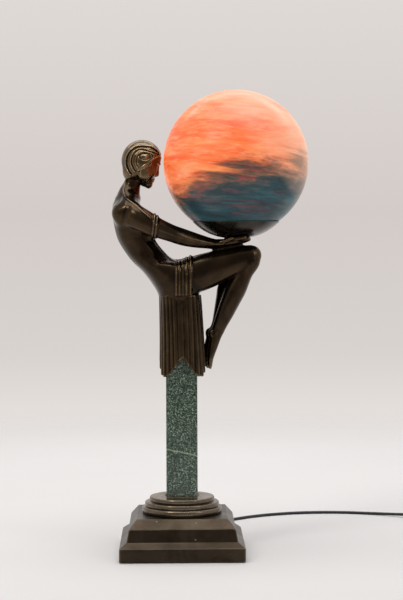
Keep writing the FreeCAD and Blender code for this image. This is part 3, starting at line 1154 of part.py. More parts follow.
def make_plug():
    """Flat two-pin plug lying beside the coil; its cable comes from the coil's last turn."""
    x, y0, z = coil_end()
    y1 = y0 - PLUG_RELIEF
    y2 = y1 - PLUG_LENGTH

    def outline(y, half_x, half_z):
        return Part.makePolygon([V(x - half_x, y, z - half_z), V(x + half_x, y, z - half_z),
                                 V(x + half_x, y, z + half_z), V(x - half_x, y, z + half_z),
                                 V(x - half_x, y, z - half_z)])

    half_z = PLUG_HEIGHT / 2
    body = Part.makeLoft([outline(y1, PLUG_BACK_WIDTH / 2, PLUG_BACK_HEIGHT / 2),
                          outline(y1 - PLUG_SHOULDER, PLUG_WIDTH / 2, half_z),
                          outline(y2, PLUG_WIDTH / 2 - PLUG_TAPER, half_z)], True, True)
    thin = CORD_RADIUS + PLUG_RELIEF_WALL
    body = body.fuse(Part.makeCone(thin, thin + PLUG_RELIEF_GROWTH, PLUG_RELIEF, V(x, y0, z), V(0, -1, 0)))
    pins = []
    for s in (-1, 1):
        pin = cylinder_along(PIN_RADIUS, (x + s * PIN_SPACING / 2, y2 + PIN_ROOT, z), (0, -1, 0),
                             PIN_LENGTH + PIN_ROOT)
        body = body.cut(pin)
        pins.append(pin)
    return {"plug_body": body, "plug_pins": group(pins)}


# ---------------------------------------------------------------- write the parts
def main():
    bowl = make_bowl()
    parts = {}
    parts.update(make_base())
    parts.update(make_disc())
    parts.update(make_column())
    parts.update(make_figure(bowl))
    parts.update(make_shade(bowl))
    parts.update(make_holder())
    parts.update(make_bulb())
    parts.update(make_bushing())
    parts.update(make_cord())
    parts.update(make_switch())
    parts.update(make_tie())
    parts.update(make_plug())
    os.makedirs("parts", exist_ok=True)
    for name, shape in sorted(parts.items()):
        shape.exportStep("parts/" + name + ".step")
        size = shape.BoundBox
        print("%-16s solids %d valid %s volume %9.0f  x %.1f..%.1f y %.1f..%.1f z %.1f..%.1f" % (
            name, len(shape.Solids), shape.isValid(), shape.Volume,
            size.XMin, size.XMax, size.YMin, size.YMax, size.ZMin, size.ZMax))


main()
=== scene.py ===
import math
import bpy
import bmesh
import numpy as np
from mathutils import Euler, Matrix, Vector


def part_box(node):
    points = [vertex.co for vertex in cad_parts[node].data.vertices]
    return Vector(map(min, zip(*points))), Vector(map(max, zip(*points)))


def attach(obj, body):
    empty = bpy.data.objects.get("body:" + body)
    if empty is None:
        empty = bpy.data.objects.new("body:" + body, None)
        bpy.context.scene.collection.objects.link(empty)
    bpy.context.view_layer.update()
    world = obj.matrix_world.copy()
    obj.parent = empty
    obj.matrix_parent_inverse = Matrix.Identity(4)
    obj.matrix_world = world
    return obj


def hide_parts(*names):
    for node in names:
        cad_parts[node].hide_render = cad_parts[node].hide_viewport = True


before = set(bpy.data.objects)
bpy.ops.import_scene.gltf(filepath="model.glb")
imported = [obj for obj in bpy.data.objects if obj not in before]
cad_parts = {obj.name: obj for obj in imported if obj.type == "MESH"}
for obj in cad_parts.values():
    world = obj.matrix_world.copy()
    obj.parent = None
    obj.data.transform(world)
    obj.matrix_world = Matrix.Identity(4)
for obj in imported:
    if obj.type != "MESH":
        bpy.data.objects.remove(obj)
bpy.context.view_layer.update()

MM = 0.001
LAMP = "lamp"
GLOBE_BODY = "globe"


def link_object(name, data):
    obj = bpy.data.objects.new(name, data)
    bpy.context.scene.collection.objects.link(obj)
    return obj


# ---------------------------------------------------------------- places and sizes (metres)
GLOBE_LOW, GLOBE_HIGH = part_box("glass_globe")
GLOBE_RADIUS = (GLOBE_HIGH[0] - GLOBE_LOW[0]) / 2
GLOBE_CENTRE = Vector(((GLOBE_LOW[0] + GLOBE_HIGH[0]) / 2, 0.0, GLOBE_HIGH[2] - GLOBE_RADIUS))
GLOBE_WALL = 0.003
MOUTH_Z = GLOBE_LOW[2]
BOWL_LOW, BOWL_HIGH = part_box("shade_bowl")
COLUMN_LOW, COLUMN_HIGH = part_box("marble_column")
COLUMN_TOP_MM = COLUMN_HIGH[2] / MM + 1.0       # on the cork pad


# ---------------------------------------------------------------- camera
CAMERA_PLACE = (-0.009, -2.185, 0.4246)
CAMERA_YAW = 0.97           # degrees to the right of +Y
CAMERA_DOWN = 1.965
CAMERA_LENS, SENSOR_WIDTH = 94.8, 36
CAMERA_ROLL = -0.2          # degrees; level lines rise a little to the right in the picture


def make_camera():
    data = bpy.data.cameras.new("camera")
    data.lens, data.sensor_width = CAMERA_LENS, SENSOR_WIDTH
    camera = link_object("camera", data)
    camera.location = CAMERA_PLACE
    aim = Euler((math.radians(90 - CAMERA_DOWN), 0, math.radians(-CAMERA_YAW))).to_matrix()
    camera.rotation_euler = (aim @ Matrix.Rotation(math.radians(CAMERA_ROLL), 3, "Z")).to_euler()
    bpy.context.scene.camera = camera


make_camera()


# ---------------------------------------------------------------- the cord
CORD_RADIUS = 0.00225
BUSHING_END = (0.028, 0.107, 0.01)
SWITCH_CENTRE = Vector((0.4, 0.24, 0))
SWITCH_TURN = math.radians(-20)
SWITCH_CABLE = ((-0.05, 0.005), (-0.03, 0.0065), (0, 0.0065), (0.03, 0.0065), (0.046, 0.005))  # along, height
COIL_X, COIL_Y = 0.422, 0.172
COIL_INNER = 0.0185
COIL_HALF_TURNS = 7
COIL_PITCH = 0.005
COIL_OUTER = COIL_INNER + COIL_HALF_TURNS * COIL_PITCH / 2
COIL_STEP = 0.005           # from the lower layer to the upper one
COIL_Z = 0.00335
COIL_TUCK = 0.0012          # how far the climb between the layers keeps inside
TURN_POINTS = 8             # control points in half a turn
PLUG_PLACE = Vector((COIL_X + COIL_INNER + (COIL_HALF_TURNS - 1) * COIL_PITCH / 2, COIL_Y - 0.044, 0.007))
CORD_LEAD = [
    BUSHING_END, (0.028, 0.131, 0.01), (0.031, 0.161, 0.0045), (0.044, 0.199, 0.00225), (0.078, 0.242, 0.00225),
    (0.128, 0.279, 0.00225), (0.188, 0.3, 0.00225), (0.252, 0.301, 0.00225), (0.308, 0.285, 0.00225),
]


def coil_points():
    """Turns in on the lower layer, a climb, and turns out on the upper one."""
    # a control point stands this much further out than the spline that it bends
    reach = 1 / (0.75 + 0.25 * math.cos(math.pi / TURN_POINTS))
    points = []
    for k in range(2 * COIL_HALF_TURNS * TURN_POINTS + 1):
        turned = k / TURN_POINTS
        outward = max(turned - COIL_HALF_TURNS - 1, 0)
        climb = min(max(turned - COIL_HALF_TURNS, 0), 1)
        radius = COIL_OUTER - (min(turned, COIL_HALF_TURNS) - outward) * COIL_PITCH / 2
        radius = (radius - COIL_TUCK * math.sin(math.pi * climb) ** 2) * reach
        angle = -math.pi * turned
        points.append((COIL_X + radius * math.cos(angle), COIL_Y + radius * math.sin(angle),
                       COIL_Z + COIL_STEP * climb * climb * (3 - 2 * climb)))
    return points


def cord_route():
    """From the base through the hand switch and round the coil to the plug."""
    c, s = math.cos(SWITCH_TURN), math.sin(SWITCH_TURN)
    route = CORD_LEAD + [(SWITCH_CENTRE.x + x * c, SWITCH_CENTRE.y + x * s, z) for x, z in SWITCH_CABLE]
    x, y = COIL_X + COIL_OUTER, COIL_Y + 2 * CORD_RADIUS
    route += [(x + 0.001, y + 0.026, COIL_Z), (x, y + 0.0125, COIL_Z)] + coil_points()
    x, top = PLUG_PLACE.x, COIL_Z + COIL_STEP
    return route + [(route[-1][0], COIL_Y - 0.012, top), (x, COIL_Y - 0.024, top),
                    (x, COIL_Y - 0.036, PLUG_PLACE.z), tuple(PLUG_PLACE)]


def make_cord():
    curve = bpy.data.curves.new("flex", "CURVE")
    curve.dimensions = "3D"
    points = cord_route()
    spline = curve.splines.new("NURBS")
    spline.points.add(len(points) - 1)
    for point, place in zip(spline.points, points):
        point.co = (*place, 1)
    spline.order_u, spline.resolution_u, spline.use_endpoint_u = 3, 6, True
    curve.bevel_depth, curve.bevel_resolution, curve.use_fill_caps = CORD_RADIUS, 5, True
    return link_object("flex", curve)


flex = make_cord()


# ---------------------------------------------------------------- materials
class Nodes:
    """Short forms for building the node tree of a material or of the world."""

    def __init__(self, name, world=False):
        self.owner = (bpy.data.worlds if world else bpy.data.materials).new(name)
        self.owner.use_nodes = True
        self.tree = self.owner.node_tree
        self.shader = self.tree.nodes["Background" if world else "Principled BSDF"]
        self.place = self.add("ShaderNodeTexCoord").outputs["Generated" if world else "Object"]

    def add(self, kind, sockets=(), **values):
        """A new node. sockets: what goes into each, by name or number."""
        node = self.tree.nodes.new(kind)
        for name, value in values.items():
            setattr(node, name, value)
        for name, value in dict(sockets).items():
            self.put(value, node.inputs[name])
        return node

    def put(self, value, socket):
        if isinstance(value, bpy.types.NodeSocket):
            self.tree.links.new(value, socket)
        else:
            socket.default_value = (*value, 1) if socket.type == "RGBA" and len(value) == 3 else value

    def shade(self, **values):
        """Fills the shader's own sockets."""
        for name, value in values.items():
            self.put(value, self.shader.inputs[name.replace("_", " ")])
        return self.owner

    def scaled(self, scale, turn=(0, 0, 0), source=None):
        return self.add("ShaderNodeMapping", {
            "Scale": scale, "Rotation": turn, "Vector": source or self.place}).outputs["Vector"]

    def noise(self, scale, detail=4, roughness=0.55, distortion=0, vector=None, colour=False):
        node = self.add("ShaderNodeTexNoise", {"Scale": scale, "Detail": detail, "Roughness": roughness,
                                               "Distortion": distortion, "Vector": vector or self.place})
        return node.outputs["Color" if colour else "Fac"]

    def cells(self, scale, vector=None, output="Distance"):
        return self.add("ShaderNodeTexVoronoi", {"Scale": scale, "Vector": vector or self.place}).outputs[output]

    def ramp(self, source, stops, interpolation="LINEAR"):
        node = self.add("ShaderNodeValToRGB", {"Fac": source})
        node.color_ramp.interpolation = interpolation
        elements = node.color_ramp.elements
        while len(elements) < len(stops):
            elements.new(0.5)
        for element, (position, colour) in zip(elements, stops):
            element.position = position
            element.color = (*colour, 1)
        return node.outputs["Color"]

    def mix(self, fac, a, b, blend="MIX"):
        return self.add("ShaderNodeMix", ((0, fac), (6, a), (7, b)), data_type="RGBA", blend_type=blend).outputs[2]

    def math(self, operation, a, b=0):
        return self.add("ShaderNodeMath", {0: a, 1: b}, operation=operation).outputs[0]

    def plus(self, a, b):
        return self.math("ADD", a, b)

    def times(self, a, b):
        return self.math("MULTIPLY", a, b)

    def spread(self, source, low, high, to_low=0, to_high=1, **values):
        node = self.add("ShaderNodeMapRange", {"Value": source, "From Min": low, "From Max": high,
                                               "To Min": to_low, "To Max": to_high}, **values)
        return node.outputs["Result"]

    def bump(self, height, strength, distance):
        node = self.add("ShaderNodeBump", {"Strength": strength, "Distance": distance, "Height": height})
        self.shade(Normal=node.outputs["Normal"])

    def axis(self, name):
        return self.add("ShaderNodeSeparateXYZ", {"Vector": self.place}).outputs[name]

    def pointiness(self, low, high, most):
        point = self.add("ShaderNodeNewGeometry").outputs["Pointiness"]
        return self.spread(point, low, high, 0, most)


def bronze(name, dark, brown, rubbed_and_sheen, wear_and_sheen):
    """Brown patina that is darker in hollows and rubbed through to a golden brown on high places; that pale colour on
    high places and edges is also a painted highlight.
    """
    m = Nodes(name)
    patina = m.ramp(m.noise(26, 5, 0.6, 0.6), [(0.36, dark), (0.66, brown)])
    streak = m.noise(90, 3, 0.6, 0, m.scaled((1, 1, 0.35)))
    # painted highlight and rubbed wear: high places and edges are mixed toward the pale colour
    high = m.times(m.pointiness(0.5, 0.545, wear_and_sheen), m.spread(streak, 0.3, 0.65, 0.35, 1))
    low = m.pointiness(0.5, 0.455, 0.8)
    m.bump(m.noise(240, 3, 0.6), 0.1, 0.0006)
    return m.shade(Base_Color=m.mix(low, m.mix(high, patina, rubbed_and_sheen), tuple(0.4 * c for c in dark)),
                   Roughness=m.spread(m.noise(60), 0.3, 0.7, 0.17, 0.27),
                   Metallic=0.92, IOR=1.5, Coat_Weight=0.08, Coat_Roughness=0.14)


def base_bronze(name, dark, brown, rough):
    """The flat-sided base and its disc: the same patina, duller, with small pits that show pale."""
    m = Nodes(name)
    patina = m.ramp(m.noise(18, 6, 0.65, 0.8), [(0.34, dark), (0.68, brown)])
    spot = m.times(m.spread(m.cells(55), 0.1, 0.02), m.spread(m.noise(37, 1), 0.6, 0.66))
    pitted = m.mix(spot, patina, (0.42, 0.36, 0.26))
    m.bump(m.noise(160, 4, 0.6), 0.12, 0.0008)
    return m.shade(Base_Color=m.mix(m.pointiness(0.51, 0.57, 0.7), pitted, (0.32, 0.26, 0.19)),
                   Roughness=m.spread(m.noise(45, 5), 0.3, 0.7, *rough),
                   Metallic=0.9, IOR=1.5, Coat_Weight=0.05, Coat_Roughness=0.25)


def green_marble():
    """Dark green stone with a close salt-and-pepper of paler grains and one thin pale vein."""
    m = Nodes("green_marble")
    warped = m.mix(0.004, m.place, m.noise(260, 3, 0.6, colour=True), "ADD")
    pick = m.add("ShaderNodeSeparateColor", {"Color": m.cells(820, warped, "Color")}).outputs["Red"]
    grain = m.plus(m.times(pick, 0.48), m.times(m.noise(520, 5, 0.75, 0.6), 0.52))
    ground = m.ramp(grain, [(0.31, (0.006, 0.02, 0.011)), (0.5, (0.028, 0.06, 0.036)),
                            (0.61, (0.084, 0.14, 0.09)), (0.72, (0.36, 0.45, 0.34))])
    ground = m.mix(m.spread(m.noise(48, 5, 0.65, 1.4), 0.42, 0.66, 0, 0.55), ground, (0.022, 0.046, 0.03))
    line = m.plus(m.plus(m.axis("Z"), m.times(m.axis("X"), 0.22)), m.times(m.noise(60, 3), 0.008))
    off = m.math("ABSOLUTE", m.math("SUBTRACT", line, 0.1445))
    vein = m.times(m.spread(off, 0.0012, 0.0003), m.spread(m.noise(70, 3), 0.34, 0.5))
    m.bump(m.noise(300, 3), 0.02, 0.0003)
    return m.shade(Base_Color=m.mix(m.times(vein, 0.7), ground, (0.4, 0.47, 0.33)),
                   Roughness=0.22, IOR=1.5, Coat_Weight=0.35, Coat_Roughness=0.06)


def lit_glass():
    """Opal glass with coloured powders drawn round it, glowing by itself."""
    m = Nodes("lit_glass")
    tilted = m.scaled((1, 1, 1), (0.04, -0.07, 0))
    rolled = m.scaled((1, 1, 5.2), source=tilted)
    wisps = m.noise(11, 6, 0.62, 0.9, rolled)
    broad = m.noise(5.5, 4, 0.55, 1.2, m.scaled((1, 1, 3), source=tilted))
    fine = m.noise(38, 4, 0.6, 0.5, rolled)

    def cloud(ground, colour, source, low, high, least, most):
        return m.mix(m.spread(source, low, high, least, most), ground, colour)

    warm = m.ramp(m.plus(m.times(wisps, 0.62), m.times(broad, 0.38)),
                  [(0.37, (1, 0.11, 0.02)), (0.46, (1, 0.175, 0.042)), (0.54, (1, 0.245, 0.082)),
                   (0.61, (1, 0.38, 0.18)), (0.69, (1, 0.57, 0.34))])
    warm = cloud(warm, (1, 0.56, 0.3), fine, 0.5, 0.68, 0, 0.35)
    warm = cloud(warm, (1, 0.36, 0.07), m.noise(13, 4, 0.6, 0.8, rolled), 0.56, 0.67, 0, 0.4)
    cool = m.ramp(m.plus(m.times(wisps, 0.6), m.times(broad, 0.4)),
                  [(0.36, (0.008, 0.022, 0.028)), (0.48, (0.009, 0.056, 0.07)), (0.57, (0.018, 0.086, 0.1)),
                   (0.68, (0.062, 0.094, 0.11))])
    cool = cloud(cool, (0.18, 0.04, 0.05), m.noise(15, 5, 0.6, 1, rolled), 0.53, 0.65, 0, 0.5)
    cool = cloud(cool, (0.02, 0.105, 0.115), m.noise(19, 4, 0.6, 0.8, rolled), 0.54, 0.64, 0, 0.6)
    cool = cloud(cool, (0.006, 0.01, 0.014), fine, 0.4, 0.62, 0.45, 0)
    height, across = m.axis("Z"), m.axis("X")
    border = m.plus(height, m.times(across, -0.26))
    for source, amount in ((wisps, 0.085), (broad, 0.1)):
        border = m.plus(border, m.times(m.math("SUBTRACT", source, 0.5), amount))
    middle_z = GLOBE_CENTRE.z - 0.046
    seam = m.times(m.spread(border, middle_z - 0.028, middle_z - 0.002),
                   m.spread(border, middle_z + 0.026, middle_z + 0.002))
    dusk = m.ramp(fine, [(0.36, (0.03, 0.036, 0.022)), (0.52, (0.115, 0.08, 0.05)), (0.66, (0.5, 0.055, 0.022))])
    pattern = m.mix(m.spread(border, middle_z - 0.01, middle_z + 0.012), cool, warm)
    pattern = m.mix(m.times(seam, 0.75), pattern, dusk)
    upper = m.plus(height, m.times(across, 1.1))
    top_glow = m.spread(upper, GLOBE_CENTRE.z + 0.118, GLOBE_CENTRE.z + 0.208, 0, 0.9)
    pattern = m.mix(m.times(top_glow, m.spread(wisps, 0.38, 0.56, 0.6, 1)), pattern, (0.93, 0.5, 0.32))
    low_shade = m.spread(height, MOUTH_Z - 0.002, GLOBE_CENTRE.z - 0.05, 0.62, 1)
    m.bump(m.noise(60, 3, 0.5, 0.3, rolled), 0.05, 0.001)
    return m.shade(Emission_Color=pattern, Base_Color=m.mix(0.8, pattern, (0.03, 0.03, 0.03)),
                   Emission_Strength=m.times(low_shade, 0.82), Roughness=0.28, IOR=1.45, Specular_IOR_Level=0.25)


def simple(name, dark, pale, scale, roughness=(0.4, 0.55), metallic=0, bump=0.05):
    """Two tones of one colour in a fine cloud, for the plainer materials."""
    m = Nodes(name)
    m.bump(m.noise(scale * 2.5, 3, 0.6), bump, 0.0005)
    return m.shade(Base_Color=m.ramp(m.noise(scale, 5, 0.6, 0.2), [(0.35, dark), (0.65, pale)]),
                   Roughness=m.spread(m.noise(scale * 0.6, 3, 0.5), 0.3, 0.7, *roughness), Metallic=metallic)


def clear_bulb():
    m = Nodes("bulb_clear_glass")
    return m.shade(Transmission_Weight=0.94, IOR=1.45,
                   Base_Color=m.ramp(m.noise(40), [(0.3, (0.93, 0.92, 0.88)), (0.7, (0.99, 0.98, 0.96))]),
                   Roughness=m.spread(m.noise(30), 0.3, 0.7, 0.01, 0.05))


def lit_strips():
    m = Nodes("lit_strips")
    tone = m.ramp(m.cells(420), [(0.15, (1, 0.8, 0.42)), (0.6, (1, 0.62, 0.22))])
    return m.shade(Base_Color=tone, Emission_Color=tone, Emission_Strength=2.2, Roughness=0.5)


BRONZE_DARK = (0.014, 0.008, 0.0038)
BRONZE_BROWN = (0.043, 0.0245, 0.0112)
BRONZE_RUBBED_AND_SHEEN = (0.42, 0.29, 0.145)
MATERIALS = {
    "figure": bronze("figure_bronze", BRONZE_DARK, BRONZE_BROWN, BRONZE_RUBBED_AND_SHEEN, 0.36),
    "skirt": bronze("skirt_bronze", (0.021, 0.0125, 0.006), (0.064, 0.038, 0.0175), BRONZE_RUBBED_AND_SHEEN, 0.36),
    # the head's paler tones are partly rubbed patina and partly painted top light and highlights on the hair
    "head": bronze("head_bronze_and_painted_light", (0.055, 0.036, 0.018), (0.168, 0.114, 0.06), (0.88, 0.65, 0.37), 0.68),
    "bowl": bronze("bowl_bronze", (0.026, 0.02, 0.015), (0.048, 0.038, 0.03), (0.2, 0.16, 0.11), 0.25),
    "base": base_bronze("base_bronze", (0.024, 0.0165, 0.0095), (0.055, 0.04, 0.0255), (0.28, 0.4)),
    # the disc's tones, paler than the base's, are painted top light on its upward-facing rings
    "disc": base_bronze("disc_bronze_painted_top_light", (0.1, 0.078, 0.054), (0.185, 0.148, 0.107), (0.2, 0.3)),
    "marble": green_marble(),
    "globe": lit_glass(),
    "bulb": clear_bulb(),
    "strips": lit_strips(),
    "brass": simple("plain_brass", (0.52, 0.36, 0.13), (0.72, 0.55, 0.25), 90, (0.22, 0.38), 1),
    "zinc": simple("zinc_steel", (0.42, 0.42, 0.41), (0.62, 0.62, 0.62), 120, (0.28, 0.42), 1),
    "nickel": simple("nickel", (0.55, 0.53, 0.49), (0.72, 0.7, 0.66), 80, (0.12, 0.22), 1),
    "black_steel": simple("black_steel", (0.01, 0.01, 0.01), (0.024, 0.023, 0.022), 70),
    "thermoset": simple("black_thermoset", (0.009, 0.009, 0.009), (0.022, 0.021, 0.02), 60, (0.3, 0.42)),
    "steatite": simple("steatite", (0.68, 0.65, 0.58), (0.82, 0.8, 0.74), 150, (0.55, 0.7)),
    "felt": simple("green_felt", (0.01, 0.032, 0.02), (0.03, 0.07, 0.045), 700, (0.85, 0.95), 0, 0.6),
    "cork": simple("cork", (0.34, 0.23, 0.13), (0.62, 0.48, 0.32), 260, (0.7, 0.9), 0, 0.4),
    "flex": simple("black_flex", (0.006, 0.007, 0.007), (0.017, 0.018, 0.018), 120, (0.34, 0.48), 0, 0.05),
    "plastic": simple("black_plastic", (0.008, 0.008, 0.009), (0.018, 0.018, 0.018), 90, (0.25, 0.36)),
    "cores": simple("core_insulation", (0.38, 0.38, 0.36), (0.52, 0.52, 0.5), 90),
}
CAD_LOOKS = {
    "black_steel": "base_cover", "felt": "base_felt shade_gasket", "disc": "stepped_disc", "cork": "column_pads",
    "zinc": "cover_screws tie_rod tie_rod_washer tie_rod_nut bowl_nipple terminal_screws bulb_contact switch_axle "
            "switch_screws",
    "brass": "bowl_nuts socket_thread socket_contact bulb_cap switch_contacts", "steatite": "socket_core",
    "thermoset": "socket_cap socket_shell", "bulb": "bulb_glass", "strips": "bulb_filament",
    "cores": "inner_cores", "flex": "cord_bushing", "nickel": "plug_pins",
    "plastic": "cord_tie switch_base switch_cover switch_rocker",
}


def dress_cad():
    """Gives the CAD pieces that are shown as they are their materials."""
    for look, nodes in CAD_LOOKS.items():
        for node in nodes.split():
            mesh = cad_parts[node].data
            mesh.materials.clear()
            mesh.materials.append(MATERIALS[look])


def finish_piece(obj, look, body, slot, *nodes):
    obj.data.materials.append(MATERIALS[look])
    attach(obj, body)
    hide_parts(*nodes)


def link_mesh(name, verts, faces, smooth=True):
    mesh = bpy.data.meshes.new(name)
    mesh.from_pydata(verts, [], faces)
    mesh.update()
    mesh.polygons.foreach_set("use_smooth", [smooth] * len(mesh.polygons))
    return link_object(name, mesh)


# ---------------------------------------------------------------- clay: forms built as distances on a block of voxels
FAR = 12
LIMB_STEPS = 10         # slices of a limb from one of its ovals to the next


def smooth_min(a, b, blend):
    if blend <= 0:
        return np.minimum(a, b)
    h = np.clip(0.5 + 0.5 * (b - a) / blend, 0, 1)
    return b + (a - b) * h - blend * h * (1 - h)


def eased(x, low, high):
    """0 below low, 1 above high, smooth between."""
    t = np.clip((x - low) / (high - low), 0, 1)
    return t * t * (3 - 2 * t)


def curve_through(t, stations, column):
    """Smooth curve through one column of the stations, whose first column is the position."""
    xs = np.array([s[0] for s in stations], float)
    ys = np.array([s[column] for s in stations], float)
    order = np.argsort(xs)
    xs, ys = xs[order], ys[order]
    slopes = np.gradient(ys, xs)
    t = np.clip(t, xs[0], xs[-1])
    k = np.clip(np.searchsorted(xs, t) - 1, 0, len(xs) - 2)
    width = xs[k + 1] - xs[k]
    u = (t - xs[k]) / width
    return ((1 + 2 * u) * (1 - u) ** 2 * ys[k] + u * (1 - u) ** 2 * width * slopes[k]
            + u * u * (3 - 2 * u) * ys[k + 1] + u * u * (u - 1) * width * slopes[k + 1])


class Clay:
    """A block of voxels in millimetres. Each voxel holds its distance to the form, negative inside."""

    def __init__(self, low, high, step):
        self.step = step
        self.axes = [np.arange(a, b + step, step, dtype=np.float32) for a, b in zip(low, high)]
        self.field = np.full([len(a) for a in self.axes], FAR, np.float32)

    def window(self, low, high):
        return tuple(slice(max(int(np.searchsorted(axis, a)) - 1, 0), int(np.searchsorted(axis, b)) + 1)
                     for axis, a, b in zip(self.axes, low, high))

    def grid(self, window):
        x, y, z = [axis[part] for axis, part in zip(self.axes, window)]
        return x[:, None, None], y[None, :, None], z[None, None, :]

    def add(self, form, low, high, blend=0, cut=False):
        """Joins the form on, or cuts it out. It reaches from low to high."""
        window = self.window([a - blend - 3 for a in low], [b + blend + 3 for b in high])
        if min(s.stop - s.start for s in window) < 2:
            return
        value, field = form(*self.grid(window)), self.field[window]
        if cut:
            self.field[window] = -smooth_min(-field, value.astype(np.float32), blend)
        else:
            self.field[window] = smooth_min(field, np.minimum(value, FAR).astype(np.float32), blend)

    def swell(self, form, low, high):
        """Moves the surface out by form, in millimetres."""
        window = self.window(low, high)
        self.field[window] -= form(*self.grid(window)).astype(np.float32)

    def ball(self, centre, radii, blend=0, cut=False, forward=(1, 0)):
        """Ellipsoid. radii run along forward (x, z), along Y and square to both."""
        cx, cy, cz = centre
        ra, rb, rc = radii
        fx, fz = forward
        size = math.hypot(fx, fz)
        fx, fz = fx / size, fz / size

        def form(x, y, z):
            a = ((x - cx) * fx + (z - cz) * fz) / ra
            c = ((z - cz) * fx - (x - cx) * fz) / rc
            r = np.sqrt(a * a + ((y - cy) / rb) ** 2 + c * c)
            return (r - 1) * min(ra, rb, rc)

        reach = max(radii)
        self.add(form, [v - reach for v in centre], [v + reach for v in centre], blend, cut)

    def rod(self, start, end, r0, r1, blend, cut=False):
        """Round bar between two points, tapering from r0 to r1."""
        p0 = np.array(start, float)
        d = np.array(end, float) - p0
        long = float(d @ d)

        def form(x, y, z):
            t = np.clip(((x - p0[0]) * d[0] + (y - p0[1]) * d[1] + (z - p0[2]) * d[2]) / long, 0, 1)
            gap = np.sqrt((x - p0[0] - t * d[0]) ** 2 + (y - p0[1] - t * d[1]) ** 2 + (z - p0[2] - t * d[2]) ** 2)
            return gap - (r0 + (r1 - r0) * t)

        big = max(r0, r1)
        self.add(form, np.minimum(start, end) - big, np.maximum(start, end) + big, blend, cut)

    def chain(self, points, blend, radii=None, cut=False):
        """Bars from point to point. radii: at the ends of each bar, where the points don't bring their own."""
        for a, b in zip(points, points[1:]):
            r0, r1 = radii or (a[3], b[3])
            self.rod(a[:3], b[:3], r0, r1, blend, cut)

    def skin_y(self, x, z, side):
        """Y of the outermost surface at this x and z, on the side -1 or 1."""
        i, k = [int(np.clip(np.searchsorted(axis, v), 1, len(axis) - 1)) for axis, v in zip(self.axes[::2], (x, z))]
        line, ys = self.field[i, ::-side, k], self.axes[1][::-side]
        entries = np.flatnonzero((line[:-1] >= 0) & (line[1:] < 0))
        if not len(entries):
            return None
        j = entries[0]
        return float(ys[j] + line[j] / (line[j] - line[j + 1]) * (ys[j + 1] - ys[j]))

    def bead(self, points, radius, side, blend, sink, samples=10):
        """A raised line on the surface of one side, through (x, z) points."""
        path = []
        rows = [(i, x, z) for i, (x, z) in enumerate(points)]
        for s in range((len(points) - 1) * samples + 1):
            x, z = [float(curve_through(np.float64(s / samples), rows, column)) for column in (1, 2)]
            y = self.skin_y(x, z, side)
            if y is not None:
                path.append((x, y - side * sink * radius, z))
        place = np.array(path)
        for _ in range(4):
            place[1:-1, 1] = (place[:-2, 1] + 2 * place[1:-1, 1] + place[2:, 1]) / 4
        for a, b in zip(place, place[1:]):
            if math.dist(a, b) < 8 * radius:
                self.rod(a, b, radius, radius, blend)

    def mesh(self, name):
        """Smooth quad surface, one point in each voxel that the surface passes."""
        f = self.field
        inside = f < 0
        count = np.zeros([n - 1 for n in f.shape], np.int8)
        corners = [np.array(corner) for corner in np.ndindex(2, 2, 2)]
        for dx, dy, dz in corners:
            count += inside[dx:f.shape[0] - 1 + dx, dy:f.shape[1] - 1 + dy, dz:f.shape[2] - 1 + dz]
        cells = np.argwhere((count > 0) & (count < 8))
        index = np.full(count.shape, -1, np.int32)
        index[tuple(cells.T)] = np.arange(len(cells))
        total = np.zeros((len(cells), 3))
        hits = np.zeros(len(cells))
        for start in corners:
            for axis in range(3):
                if start[axis]:
                    continue
                end = start.copy()
                end[axis] = 1
                fa, fb = [f[tuple((cells + corner).T)] for corner in (start, end)]
                crossed = (fa < 0) != (fb < 0)
                t = np.where(crossed, fa / np.where(crossed, fa - fb, 1), 0)
                total += np.where(crossed[:, None], start + t[:, None] * (end - start), 0)
                hits += crossed
        local = total / hits[:, None]
        origin = np.array([axis[0] for axis in self.axes])
        verts = (origin + self.step * (cells + local)) * MM
        faces = []
        for axis in range(3):
            u, v = [i for i in range(3) if i != axis]
            crossed = np.argwhere(np.diff(inside, axis=axis))
            keep = (crossed[:, u] > 0) & (crossed[:, v] > 0)
            keep &= (crossed[:, u] < count.shape[u]) & (crossed[:, v] < count.shape[v])
            crossed = crossed[keep]
            eu, ev = np.eye(3, dtype=int)[[u, v]]
            quad = np.stack([index[tuple((crossed - shift).T)] for shift in (eu + ev, ev, 0 * eu, eu)], axis=1)
            flip = inside[tuple(crossed.T)] ^ (axis == 1)
            quad[~flip] = quad[~flip][:, ::-1]
            faces.append(quad)
        obj = link_mesh(name, verts.tolist(), np.concatenate(faces).tolist())
        obj.data.validate()
        return obj

    def limb(self, sections, power=2, blend=0, shape=None):
        """Form through ovals (x, y, z, facing x, facing z, half size along facing, half size along Y).

        shape(u, v, t), if given, is how far the surface is moved out; u and v run from -1 to 1.
        """
        rows = [(k, *s) for k, s in enumerate(sections)]
        t = np.linspace(0, len(sections) - 1, (len(sections) - 1) * LIMB_STEPS + 1)
        cx, cy, cz, fx, fz, hf, hs = [curve_through(t, rows, column) for column in range(1, 8)]
        size = np.hypot(fx, fz)
        fx, fz = fx / size, fz / size
        sign = 1 if (cx[-1] - cx[0]) * -fz[0] + (cz[-1] - cz[0]) * fx[0] > 0 else -1
        nx, nz = -fz * sign, fx * sign
        reach = np.maximum(hf, 1) + 2
        spans = ((cx, reach), (cy, hs), (cz, reach))

